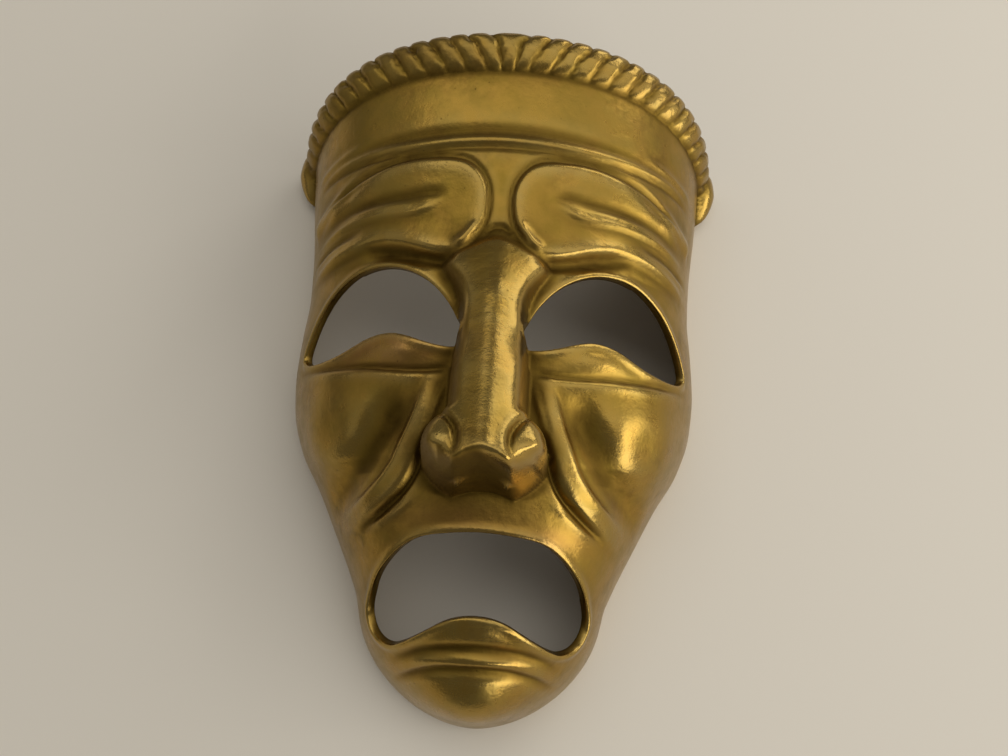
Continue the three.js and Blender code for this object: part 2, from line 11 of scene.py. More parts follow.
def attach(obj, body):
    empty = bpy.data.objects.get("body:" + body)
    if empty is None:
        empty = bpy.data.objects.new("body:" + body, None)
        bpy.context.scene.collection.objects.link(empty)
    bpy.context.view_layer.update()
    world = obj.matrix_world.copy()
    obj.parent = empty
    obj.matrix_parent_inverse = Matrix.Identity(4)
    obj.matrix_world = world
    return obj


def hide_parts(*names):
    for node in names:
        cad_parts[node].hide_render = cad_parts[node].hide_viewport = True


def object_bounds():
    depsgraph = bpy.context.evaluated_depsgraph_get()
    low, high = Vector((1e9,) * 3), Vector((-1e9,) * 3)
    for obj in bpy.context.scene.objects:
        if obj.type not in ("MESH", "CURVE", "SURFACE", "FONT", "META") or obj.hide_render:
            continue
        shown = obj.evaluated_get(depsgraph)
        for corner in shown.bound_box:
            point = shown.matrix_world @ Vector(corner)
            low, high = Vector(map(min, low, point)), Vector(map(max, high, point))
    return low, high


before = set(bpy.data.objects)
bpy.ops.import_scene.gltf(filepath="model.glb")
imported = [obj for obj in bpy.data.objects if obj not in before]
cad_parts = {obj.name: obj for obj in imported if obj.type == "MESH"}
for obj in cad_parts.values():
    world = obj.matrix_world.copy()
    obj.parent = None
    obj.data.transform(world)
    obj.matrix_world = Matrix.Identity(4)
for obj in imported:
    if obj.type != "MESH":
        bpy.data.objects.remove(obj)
SOLID_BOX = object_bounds()

bl_info = {
    "name": "Theatre mask",
    "version": (1, 0, 0),
    "blender": (4, 5, 0),
    "location": "View3D > Sidebar > Mask",
    "description": "Makes a cast brass theatre mask and the stage that it lies on",
    "category": "Add Mesh",
}

MM = 0.001

# A place on the skin is a pair (s, b) in millimetres: s runs over the skin from the middle line
# towards the back rim, b runs up the face from the inner corners of the eyes. The name a stands
# for s with a sign, more than 0 on the viewer's right. A pair called fade is the share of a line
# over which it comes in and dies out.

# Form of the shell, as pairs of a height b and a size there
HALF_WIDTH = [(-66, 37.2), (-64, 38.1), (-60, 39.9), (-50, 44.9), (-38, 51), (-26, 58), (-14, 61.8),
              (-2, 62.9), (10, 62.4), (22, 61.5), (34, 62), (52, 64), (66, 65.3), (76, 66.3)]
DEPTH = [(-66, 43.5), (-50, 46), (-38, 48), (-20, 49.5), (0, 50.5), (20, 52), (40, 53.5),
         (60, 54.5), (76, 54.8)]
CHIN = dict(b=-66, length=35.6, roundness=1.8)
JAW_NARROWER = dict(share=0.0076, reach=8)
TOP_B = 74.5
LEAN = dict(most=0.32, b=20, length=58)
SQUARER = dict(share=0.024, b=45, length=20)

# Nose: height of its ridge over the back rim and half width of its foot, by height b, then its
# root, its two planes, its walls and its flat underside
NOSE_RIDGE = [(-44, 77), (-37, 76), (-30, 73.5), (-20, 70), (-10, 67), (0, 64.2), (8, 62.2),
              (16, 59.3), (21, 57.4), (26, 55.4), (30, 54.4)]
NOSE_FOOT = [(-44, 11), (-41, 12.8), (-39, 14.4), (-36, 15.9), (-33, 16.2), (-30.5, 15.7), (-28.4, 14.5),
             (-26.4, 12.6), (-24.6, 10.9), (-23, 10), (-10, 9.6), (0, 8.5), (7, 8.9), (13, 10.8), (20, 15),
             (25, 15.5)]
NOSE_ROOT = dict(b=29, drop=5.5, side=15, length=4)
NOSE_PLANES = dict(slope=0.54, flatter=0.26, b=4, length=16, rounding=2)
NOSE_WALL = dict(power=15, more=-5.5, b=-29, length=7)
NOSE_BEND = 0.8
NOSE_BOTTOM = dict(b=-37, slope=6.5, steeper=0.6, bend=2, more_bend=5, s=6.5, length=4)

# Wings of the nose: their lower line, their bulge, the groove round their front with its rim, and
# the rounding of their lower edge between places s, b and z, each with the length that it fades in
WING = dict(side=10, drop=3.8, rise=0.6, rise_length=5)
WING_BULGE = dict(s=12.5, b=-32.5, ds=4, db=5, height=1.5)
WING_EDGE = [(11.5, -25), (9.8, -26), (7.8, -28.2), (6.3, -31.2), (6.2, -34.6), (7.3, -37.2), (8.8, -39)]
WING_GROOVE = dict(width=0.75, depth=1.8, rim=0.4, rim_at=0.9, fade=(0.1, 0.5))
WING_ROUNDING = dict(rounds=16, s=(5.5, 3, 18, 1.5), b=(-46, 1.5, -33, 4), z=(45, 4))
NOSTRIL = dict(x=6, z=60, radius=2.1, depth=1.3, bead=3.4, bead_radius=1.6)

# The inside follows the broad forms only: it is pinched behind the wings' upper ends, and backs the
# grooves with more metal
INSIDE = dict(swelling=0.8, narrower=1.25, lower=3.2, nose=0.93, nose_wall=1.5)
PINCH = dict(more=0.3, b=-25, db=5)
BACKING = dict(share=0.7, wider=2.5, fade=(0, 0.01))

# Rounded swellings, and hollows where the height is less than 0: a hollow in the cheek, the cheek,
# the chin, the lower lid, the lower lip and a hollow beside the nose
SWELLINGS = [
    dict(s=43, b=-24.5, ds=7.5, db=7, height=-1.4),
    dict(s=43, b=-24, ds=15, db=13, height=3.2),
    dict(s=0, b=-100, ds=17, db=10.5, height=3.4),
    dict(s=25, b=-4, ds=11, db=4.2, height=1.5),
    dict(s=0, b=-76, ds=16, db=3.5, height=1),
    dict(s=6, b=-6, ds=2.2, db=3.5, height=-0.7),
]

# Lines of the face. A fold is raised to the left of its line and sinks back over its reach. A band
# has a flat top. Two widths are those at the line's start and end.
FOLD_STEEPNESS = 2.2
BAND_POWER = 6
LINE_MARGIN = dict(width=4, reach=6)
LOBE = [(68, 38.5), (57, 41.8), (47, 44.4), (37, 45.8), (27, 46.4), (17, 46), (10, 45), (6, 42.8),
        (3.6, 39.6), (2.8, 35.5), (3.6, 31), (5.6, 27.8), (8.2, 25), (11.6, 23.1), (15.5, 23), (20, 24.3),
        (25, 26), (31, 27.2), (38, 27.4), (47, 26.5), (57, 25), (70, 24.2)]
LID_CREASE = [(66, -5.8), (52, -7.1), (41, -8.1), (31, -9), (22, -10), (15, -10.2), (9.5, -9.3)]
LINES = [
    dict(kind="groove", size=0.8, width=(1.6, 0.9), fade=(0, 0.65),
         points=[(-3, 51.2), (8, 51.2), (18, 51.1), (30, 51.4), (42, 51.9), (55, 52.2)]),
    dict(kind="ridge", size=0.6, width=1.1, fade=(0, 0.3),
         points=[(-3, 49.2), (20, 49.2), (40, 50), (55, 50.8), (68, 51)]),
    dict(kind="ridge", size=0.5, width=0.8, fade=(0.4, 0.2),
         points=[(38, 52.9), (50, 53.2), (60, 53.3), (70, 53.3)]),
    dict(kind="groove", size=0.9, width=0.6, fade=(0, 0.25),
         points=[(-3, 47.6), (20, 47.6), (32, 48.2), (45, 49.1), (57, 49.8), (70, 49.7)]),
    dict(kind="fold", size=2.1, width=(2.4, 0.35), fade=(0.12, 0.15), reach=5, points=LOBE),
    dict(kind="groove", size=1.6, width=0.75, fade=(0.3, 0.05), points=LOBE[:13]),
    dict(kind="ridge", size=1.1, width=1.4, fade=(0.35, 0.3),
         points=[(4.4, 31.2), (6.3, 28.4), (8.9, 25.9), (12, 24)]),
    dict(kind="groove", size=0.7, width=1.2, fade=(0.4, 0.4),
         points=[(30, 44.6), (40, 43.6), (50, 41.6), (60, 39), (70, 37.2)]),
    dict(kind="fold", size=1.2, width=0.4, fade=(0.15, 0.3), reach=2.2,
         points=[(13.5, 36.6), (15.6, 35.4), (18.8, 34.1), (24, 33.2), (31, 33.7), (39, 34), (47, 34),
                 (56, 33.1), (68, 32.2)]),
    dict(kind="groove", size=0.7, width=(0.9, 2), fade=(0.1, 0.3),
         points=[(13, 37.6), (15, 37.6), (18, 38), (25, 37.9), (33, 38), (42, 37.6), (52, 36.4),
                 (66, 35)]),
    dict(kind="ridge", size=0.5, width=0.8, fade=(0.35, 0.4),
         points=[(16, 36), (22, 35.6), (30, 36), (40, 36.4), (50, 36.2), (62, 35.2)]),
    dict(kind="ridge", size=1.4, width=2.6, fade=(0.4, 0.2),
         points=[(46, 42), (54, 41.2), (62, 40.6), (72, 40)]),
    dict(kind="groove", size=0.7, width=0.8, fade=(0.3, 0.3),
         points=[(38, 31.6), (48, 31.2), (58, 30.2), (70, 29.3)]),
    dict(kind="ridge", size=0.4, width=0.7, fade=(0.4, 0.3),
         points=[(44, 29.8), (52, 29.2), (60, 28.3), (70, 27.6)]),
    dict(kind="groove", size=1.9, width=2, fade=(0.16, 0.3),
         points=[(9, 21.8), (14, 21.2), (20, 22.4), (26, 24), (33, 25.3), (40, 25.6)]),
    dict(kind="fold", size=1.4, width=0.35, fade=(0.35, 0.1), reach=3.5, points=LID_CREASE),
    dict(kind="groove", size=1, width=1, fade=(0.35, 0.06), points=LID_CREASE),
    dict(kind="groove", size=1.1, width=0.5, fade=(0, 0.3),
         points=[(-3, 29.3), (1, 29.6), (2.6, 28.8), (4.4, 29.2)]),
    dict(kind="band", size=1.3, width=(2.8, 3.5), fade=(0.2, 0.35),
         points=[(11.5, -9), (13.4, -15), (15.8, -22), (18.7, -29), (21.9, -35.3), (26.6, -40.4),
                 (32.8, -44.7), (40, -48), (50, -50.8)]),
    dict(kind="groove", size=1.6, width=(0.6, 1), fade=(0.1, 0.3),
         points=[(13.2, -24), (15.2, -30), (17.4, -36), (20.2, -40.4), (24.6, -44.2), (31, -47.8),
                 (39, -51.3)]),
    dict(kind="groove", size=0.5, width=0.5, fade=(0.2, 0.3),
         points=[(11.4, -12), (13, -18), (14.4, -23), (16, -28)]),
    dict(kind="ridge", size=0.5, width=0.7, fade=(0.3, 0.4),
         points=[(17, -42.2), (22, -46), (28, -49.2), (36, -52)]),
    dict(kind="groove", size=3, width=4.4, fade=(0.25, 0.35),
         points=[(20.5, -12), (23, -19), (27, -26), (33, -33), (41, -38.5), (49, -42), (58, -45)]),
    dict(kind="groove", size=1.2, width=2, fade=(0, 0.45),
         points=[(-3, -82.2), (8, -82.7), (16, -84.2), (24, -87.5), (32, -92)]),
    dict(kind="ridge", size=0.6, width=1.3, fade=(0, 0.45),
         points=[(-3, -84.8), (8, -85), (15, -85.8), (23, -88.2), (32, -93)]),
    dict(kind="groove", size=1.1, width=1.3, fade=(0, 0.45),
         points=[(-3, -88), (8, -88.4), (15, -90), (23, -93.4), (32, -99)]),
]

# Openings, as outlines on the skin, and the raised lip round them
EYE = [(7.4, 0), (9.3, 5), (12, 9.6), (16, 14.2), (21, 17.8), (27, 20.2), (33.5, 20.9), (40, 20.1),
       (46, 17.8), (51.5, 14.4), (56.5, 9.6), (60.5, 4.4), (63, -0.8), (60, -3.4), (55, -4.4),
       (49, -4.5), (43, -3.7), (38, -2.2), (33.5, -0.4), (29, 0.7), (25, 0.7), (21, -0.4),
       (16.5, -2.1), (12, -3.3), (8.6, -3.2)]
MOUTH_SIDE = [(9, -52.1), (16.5, -53.2), (22, -55.5), (27.5, -59), (32.5, -62.8), (36.5, -67),
              (39, -71.5), (39.3, -75.5), (37.3, -79.8), (33.5, -82.8), (28.5, -83.8), (23.5, -82.3),
              (18.5, -79.8), (14, -77.3), (9.5, -74.8), (5, -73.3)]
MOUTH = [(0, -51.6), *MOUTH_SIDE, (0, -72.8), *[(-s, b) for s, b in MOUTH_SIDE[::-1]]]
LIP = dict(height=0.5, inset=0.8, width=1.1)

# Rope border with a leaf at each end: its middle line, the powers that shape a strand across and along,
# how fine its wobble is, and where it is darker and duller: tarnish and painted shade in the grooves, and
# painted shade on the viewer's left, away from the window
ROPE_B = 70
ROPE_FORM = dict(strand_power=3.2, end_power=4.5, wobble=0.23, dark_power=1.6, dark_rise=0.06)
ROPE_LEFT_SHADE = dict(start=-25.0, end=15.0, most=0.38)
LEAF = dict(from_rim=5.4, b=69, ds=6, db=10, height=5.6, power=1.5)
OFF_ROPE = 50.0

# The skin's grid: its rows from, to and step, its columns to a strand, where the columns begin to
# lean with the strands, how the cells beside the border settle, the angles of the rings that round
# an edge, and the steps of a curve from point to point
ROWS = [(-129, -43, 0.66), (-43, -36.6, 0.15), (-36.6, 54, 0.62), (54, 63.4, 0.8), (63.4, TOP_B, 0.36)]
STRAND_COLUMNS = 9
ARC_END, ARC_STEPS = 100, 2001
FILL_ROUNDS = 4
LEAST_ROW = 0.1
SLANT_START = dict(b=55, length=12)
SETTLING = dict(rows=3, rounds=8, share=0.6)
AT_TOP = 0.02
NEAR_RIM = 0.5
EDGE_ANGLES = (45, 90)
CURVE_STEPS = 6

# Painted shade on the nose's underside and steep walls, which lie in shade away from the window on the
# right:
# it reaches higher on the underside, fades more softly and darkens and dulls more on the left, but spares
# the lit right wing and the bead in each nostril
SHADE_MIDDLE = dict(a=2, length=4)
UNDER_SHADE = dict(higher=3, soft=1.2, softer=1.5, wing_s=6.5, wing_length=4.5, rise=3)
WALL_SHADE = dict(most=0.35, more=0.45, slope=0.8, sooner=0.25, length=1.5, wing_b=-22, wing_length=4)

# Soft reddish patches, on the viewer's left lower lid and on the upper lip: a, b, sizes and strength. They
# are a tint of the metal; on the left lower lid the patch also paints in the redder look of a lid that
# mirrors the dark room, a painted reflection
COPPER_PATCHES = [(-28, -4, 18, 6, 0.9), (22, -52, 9, 3, 0.6), (-8, -48, 18, 4, 0.45)]

# Recess and wear: rounds of evening out, then how deep a place sinks in millimetres for the full
# effect and its share, for fine and for broad forms
EVEN_ROUNDS = dict(fine=10, broad=50, last=2)
RECESS = ((0.22, 0.6), (0.7, 0.6))
WORN = ((-0.25, 0.6), (-0.8, 0.3))
# How far the painted shade darkens the metal, as a share of the full darkening of the recesses
SHADE_RECESS = 0.85


def profile(table):
    """A smooth curve through a table of pairs, level before its first and after its last."""
    x, y = np.array(table, float).T
    step = np.diff(y) / np.diff(x)
    slope = np.concatenate([step[:1], np.zeros(len(x) - 2), step[-1:]])
    same = step[:-1] * step[1:] > 0
    total = np.where(same, step[:-1] + step[1:], 1)
    slope[1:-1] = np.where(same, 2 * step[:-1] * step[1:] / total, 0)

    def value(at):
        at = np.clip(at, x[0], x[-1])
        i = np.clip(np.searchsorted(x, at, side="left") - 1, 0, len(x) - 2)
        length = x[i + 1] - x[i]
        t = (at - x[i]) / length
        u = 1 - t
        ends = y[i] * (1 + 2 * t) * u * u + y[i + 1] * t * t * (1 + 2 * u)
        return ends + length * t * u * (slope[i] * u - slope[i + 1] * t)

    return value


# Added to a place b it gives the frame's y in millimetres, with the chin's end at the CAD model's
SHIFT = SOLID_BOX[0].y / MM - (CHIN["b"] - CHIN["length"])

half_width = profile(HALF_WIDTH)
depth = profile(DEPTH)
nose_ridge = profile(NOSE_RIDGE)
nose_foot = profile(NOSE_FOOT)


def ease(t):
    """Rises smoothly from 0 to 1 as t does."""
    t = np.clip(t, 0, 1)
    return t * t * (3 - 2 * t)


def within(value, low, low_length, high=np.inf, high_length=1):
    """1 between two limits and 0 outside, rising and falling over a length at each."""
    return ease((value - low) / low_length) * ease((high - value) / high_length)


def bell(t):
    return np.exp(-t * t)


def blended_max(p, q, rounding):
    """The larger of two arrays, with a rounded change from one to the other."""
    t = np.clip(0.5 + 0.5 * (p - q) / rounding, 0, 1)
    return q + (p - q) * t + rounding * t * (1 - t)


def quarter_arc(p, q):
    """Length of a quarter of an ellipse."""
    k = ((p - q) / (p + q)) ** 2
    return math.pi * (p + q) * (1 + 3 * k / (10 + np.sqrt(4 - 3 * k))) / 4


def smooth_path(points, closed=False, steps=CURVE_STEPS):
    """A smooth line through points, with a few steps from each to the next."""
    p = np.array(points, float)
    p = np.vstack([p[-1:], p, p[:2]]) if closed else np.vstack([p[:1], p, p[-1:]])
    before, start, end, after = p[:-3], p[1:-2], p[2:-1], p[3:]
    t = (np.arange(steps) / steps)[None, :, None]
    before, start, end, after = (q[:, None, :] for q in (before, start, end, after))
    curve = 0.5 * (2 * start + (end - before) * t
                   + (2 * before - 5 * start + 4 * end - after) * t ** 2
                   + (3 * start - before - 3 * end + after) * t ** 3)
    return np.vstack([curve.reshape(-1, 2), p[-2:-1]])


def smoothed(values, edges, rounds):
    """Values of points, each made the mean of its neighbours' by pairs of points, some rounds long."""
    values = values.astype(float)
    one, two = edges.T.ravel(), edges[:, ::-1].T.ravel()
    number = np.maximum(np.bincount(one, minlength=len(values)), 1)
    for _ in range(rounds):
        for column in values.T:
            column[:] = np.bincount(one, column[two], minlength=len(values)) / number
    return values


def from_path(path, s, b):
    """Distance from a path, more than 0 on its left, the place along it from 0 to 1, and the
    nearest point of the path."""
    run = np.diff(path, axis=0)
    length = np.hypot(*run.T)
    passed = np.concatenate([[0], np.cumsum(length)])
    nearest = np.full(s.shape, np.inf)
    side, place = np.ones(s.shape), np.zeros(s.shape)
    foot = np.zeros(s.shape + (2,))
    for i, (ds, db) in enumerate(run):
        away_s, away_b = s - path[i, 0], b - path[i, 1]
        t = np.clip((away_s * ds + away_b * db) / length[i] ** 2, 0, 1)
        gap = (away_s - t * ds) ** 2 + (away_b - t * db) ** 2
        closer = gap < nearest
        nearest = np.where(closer, gap, nearest)
        side = np.where(closer, np.where(ds * away_b - db * away_s >= 0, 1, -1), side)
        place = np.where(closer, (passed[i] + t * length[i]) / passed[-1], place)
        here = np.stack([path[i, 0] + t * ds, path[i, 1] + t * db], -1)
        foot = np.where(closer[..., None], here, foot)
    return side * np.sqrt(nearest), place, foot


def fades(place, fade):
    """Strength of a line at a place along it, from 0 to 1."""
    fade_in, fade_out = fade
    return (ease(place / fade_in) if fade_in else 1) * ease((1 - place) / fade_out)


def oval(a, b):
    """The half oval through a place: its middle's height, how far the place lies below it and
    from it, how far the back rim lies over the skin and measured flat, and the oval's height."""
    middle = np.maximum(b, CHIN["b"])
    width, height = half_width(middle), depth(middle)
    down = middle - b
    width = width * (1 - JAW_NARROWER["share"] * down * np.exp(-down / JAW_NARROWER["reach"]))
    away = np.hypot(a, down) + 1e-9

    def mix(across, along):
        power = CHIN["roundness"]
        sides = (np.abs(a) / away / across) ** power + (down / away / along) ** power
        return (sides + 1e-12) ** (-1 / power)

    on_chin = down > 0
    over_skin = quarter_arc(width, height)
    over_skin = np.where(on_chin, mix(over_skin, quarter_arc(CHIN["length"], height)), over_skin)
    flat = np.where(on_chin, mix(width, CHIN["length"]), width)
    return middle, down, away, over_skin, flat, height


def skin_point(a, b):
    """Points of the plain skin; past the back rim the skin goes straight down."""
    middle, down, away, over_skin, flat, height = oval(a, b)
    turn = np.minimum(away / over_skin, 1) * math.pi / 2
    squarer = 1 + SQUARER["share"] * np.sin(2 * turn) ** 2 * ease((b - SQUARER["b"]) / SQUARER["length"])
    z = np.where(away > over_skin, over_skin - away, height * np.cos(turn) * squarer)
    out = flat * np.sin(turn) / away * squarer
    lean = LEAN["most"] * ease((b - LEAN["b"]) / LEAN["length"])
    return np.stack([a * out, middle - down * out + lean * z, z], -1)


def skin_normal(a, b):
    step = 0.05
    across = skin_point(a + step, b) - skin_point(a - step, b)
    along = skin_point(a, b + step) - skin_point(a, b - step)
    normal = np.cross(across, along)
    return normal / np.linalg.norm(normal, axis=-1, keepdims=True)


def swelling(form, s, b):
    return form["height"] * bell((s - form["s"]) / form["ds"]) * bell((b - form["b"]) / form["db"])


def line_relief(line, s, b):
    """Height that one line of the face adds, worked out only near the line."""
    path = smooth_path(line["points"])
    widths = np.broadcast_to(line["width"], 2)
    margin = LINE_MARGIN["width"] * widths.max() + LINE_MARGIN["reach"] * line.get("reach", 0)
    low, high = path.min(0) - margin, path.max(0) + margin
    near = (s > low[0]) & (s < high[0]) & (b > low[1]) & (b < high[1])
    away, place, _ = from_path(path, s[near], b[near])
    strength = line["size"] * fades(place, line["fade"])
    width = widths[0] + (widths[1] - widths[0]) * place
    if line["kind"] == "fold":
        turn = np.clip(FOLD_STEEPNESS * away / width, -50, 50)
        past = np.log1p(np.exp(turn)) * width / FOLD_STEEPNESS
        form = np.exp(-past / line["reach"]) / (1 + np.exp(-turn))
    elif line["kind"] == "band":
        form = np.exp(-(away / width) ** BAND_POWER)
    else:
        form = bell(away / width) * (1 if line["kind"] == "ridge" else -1)
    height = np.zeros(s.shape)
    height[near] = strength * form
    return height


def lip_relief(s, b):
    height = np.zeros(s.shape)
    for outline in (EYE, MOUTH):
        away, _, _ = from_path(smooth_path(outline, closed=True), s, b)
        height += LIP["height"] * bell((np.abs(away) - LIP["inset"]) / LIP["width"])
    return height


def carving(s, b):
    """Height of the carving over the plain skin, measured out of the skin."""
    height = sum(line_relief(line, s, b) for line in LINES)
    return height + sum(swelling(form, s, b) for form in SWELLINGS) + lip_relief(s, b)


def nose_top(s):
    return NOSE_ROOT["b"] - NOSE_ROOT["drop"] * ease(s / NOSE_ROOT["side"])


def nose_bottom(s):
    lower = NOSE_BOTTOM["b"] - WING["drop"] * ease(s / WING["side"])
    return lower + WING["rise"] * ease((s - WING["side"]) / WING["rise_length"])


def nose_height(s, b, skin_z):
    """Height of the nose over the plain skin, measured straight out of the face: two planes that
    meet at the ridge, steep walls, a flat underside and a wing with a groove round its front."""
    ridge = nose_ridge(b)
    rounding = NOSE_PLANES["rounding"]
    flatter = NOSE_PLANES["flatter"] * ease((b - NOSE_PLANES["b"]) / NOSE_PLANES["length"])
    planes = (NOSE_PLANES["slope"] - flatter) * (np.hypot(s, rounding) - rounding)
    power = NOSE_WALL["power"] + NOSE_WALL["more"] * ease((b - NOSE_WALL["b"]) / NOSE_WALL["length"])
    wall = (ridge - skin_z) * (s / nose_foot(b)) ** power
    outer = ease((s - NOSE_BOTTOM["s"]) / NOSE_BOTTOM["length"])
    under = blended_max(nose_bottom(s) - b, 0, NOSE_BOTTOM["bend"] + NOSE_BOTTOM["more_bend"] * outer)
    under *= NOSE_BOTTOM["slope"] * (1 + NOSE_BOTTOM["steeper"] * ease(s / WING["side"]))
    away, place, _ = from_path(smooth_path(WING_EDGE), s, b)
    groove, away = WING_GROOVE, away / WING_GROOVE["width"]
    edge = groove["depth"] * bell(away) - groove["rim"] * bell(away / 2 + groove["rim_at"])
    edge = edge * fades(place, groove["fade"]) - swelling(WING_BULGE, s, b)
    roof = ridge - planes - wall - under - edge
    nose = (roof - skin_z) * ease((nose_top(s) - b) / NOSE_ROOT["length"])
    return blended_max(nose, 0, NOSE_BEND) - NOSE_BEND / 4


def face_point(a, b):
    """Points of the carved face."""
    s = np.abs(a)
    plain = skin_point(a, b)
    point = plain + skin_normal(a, b) * carving(s, b)[..., None]
    point[..., 2] += nose_height(s, b, plain[..., 2])
    gap = np.hypot(np.abs(point[..., 0]) - NOSTRIL["x"], point[..., 2] - NOSTRIL["z"])
    pit = NOSTRIL["depth"] * np.exp(-(gap / NOSTRIL["radius"]) ** 3)
    bead = NOSTRIL["bead"] * bell(gap / NOSTRIL["bead_radius"])
    point[..., 1] += (pit - bead) * ease(NOSE_BOTTOM["b"] - point[..., 1])
    return point


def inside_point(a, b, wall):
    """Points of the inside, a wall's thickness deeper, with more metal behind the grooves."""
    s = np.abs(a)
    plain = skin_point(a, b)
    deeper = np.full(s.shape, wall)
    for line in LINES:
        if line["kind"] == "groove":
            wider = {**line, "width": np.max(line["width"]) + BACKING["wider"], "fade": BACKING["fade"]}
            deeper -= BACKING["share"] * line_relief(wider, s, b)
    deeper -= INSIDE["swelling"] * sum(swelling(form, s, b) for form in SWELLINGS)
    point = plain - skin_normal(a, b) * deeper[..., None]
    narrower = INSIDE["narrower"] + PINCH["more"] * bell((b - PINCH["b"]) / PINCH["db"])
    roof = nose_height(s * narrower, b - INSIDE["lower"], plain[..., 2])
    point[..., 2] += np.maximum(0, roof - INSIDE["nose_wall"]) * INSIDE["nose"]
    return point


def leaf_relief(s, b):
    """Height of the smooth leaf at the rope's end."""
    _, _, _, rim, _, _ = oval(s, np.full(s.shape, float(ROPE_B)))
    across = np.abs(s - rim + LEAF["from_rim"]) / LEAF["ds"]
    along = np.abs(b - LEAF["b"]) / LEAF["db"]
    gap = across ** LEAF["power"] + along ** LEAF["power"]
    return LEAF["height"] * np.sqrt(np.maximum(0, 1 - gap))


def wider_loop(outline, distance):
    """A closed outline made larger by a distance, as a fine path that ends where it starts."""
    path = smooth_path(outline, closed=True)
    along = np.roll(path[:-1], -1, axis=0) - np.roll(path[:-1], 1, axis=0)
    along /= np.linalg.norm(along, axis=1, keepdims=True)
    wider = path[:-1] + distance * np.stack([-along[:, 1], along[:, 0]], -1)
    return np.vstack([wider, wider[:1]])


def in_loop(path, s, b):
    inside = np.zeros(s.shape, bool)
    for (s0, b0), (s1, b1) in zip(path[:-1], path[1:]):
        if b0 == b1:
            continue
        crosses = ((b0 > b) != (b1 > b)) & (s < s0 + (b - b0) / (b1 - b0) * (s1 - s0))
        inside ^= crosses
    return inside


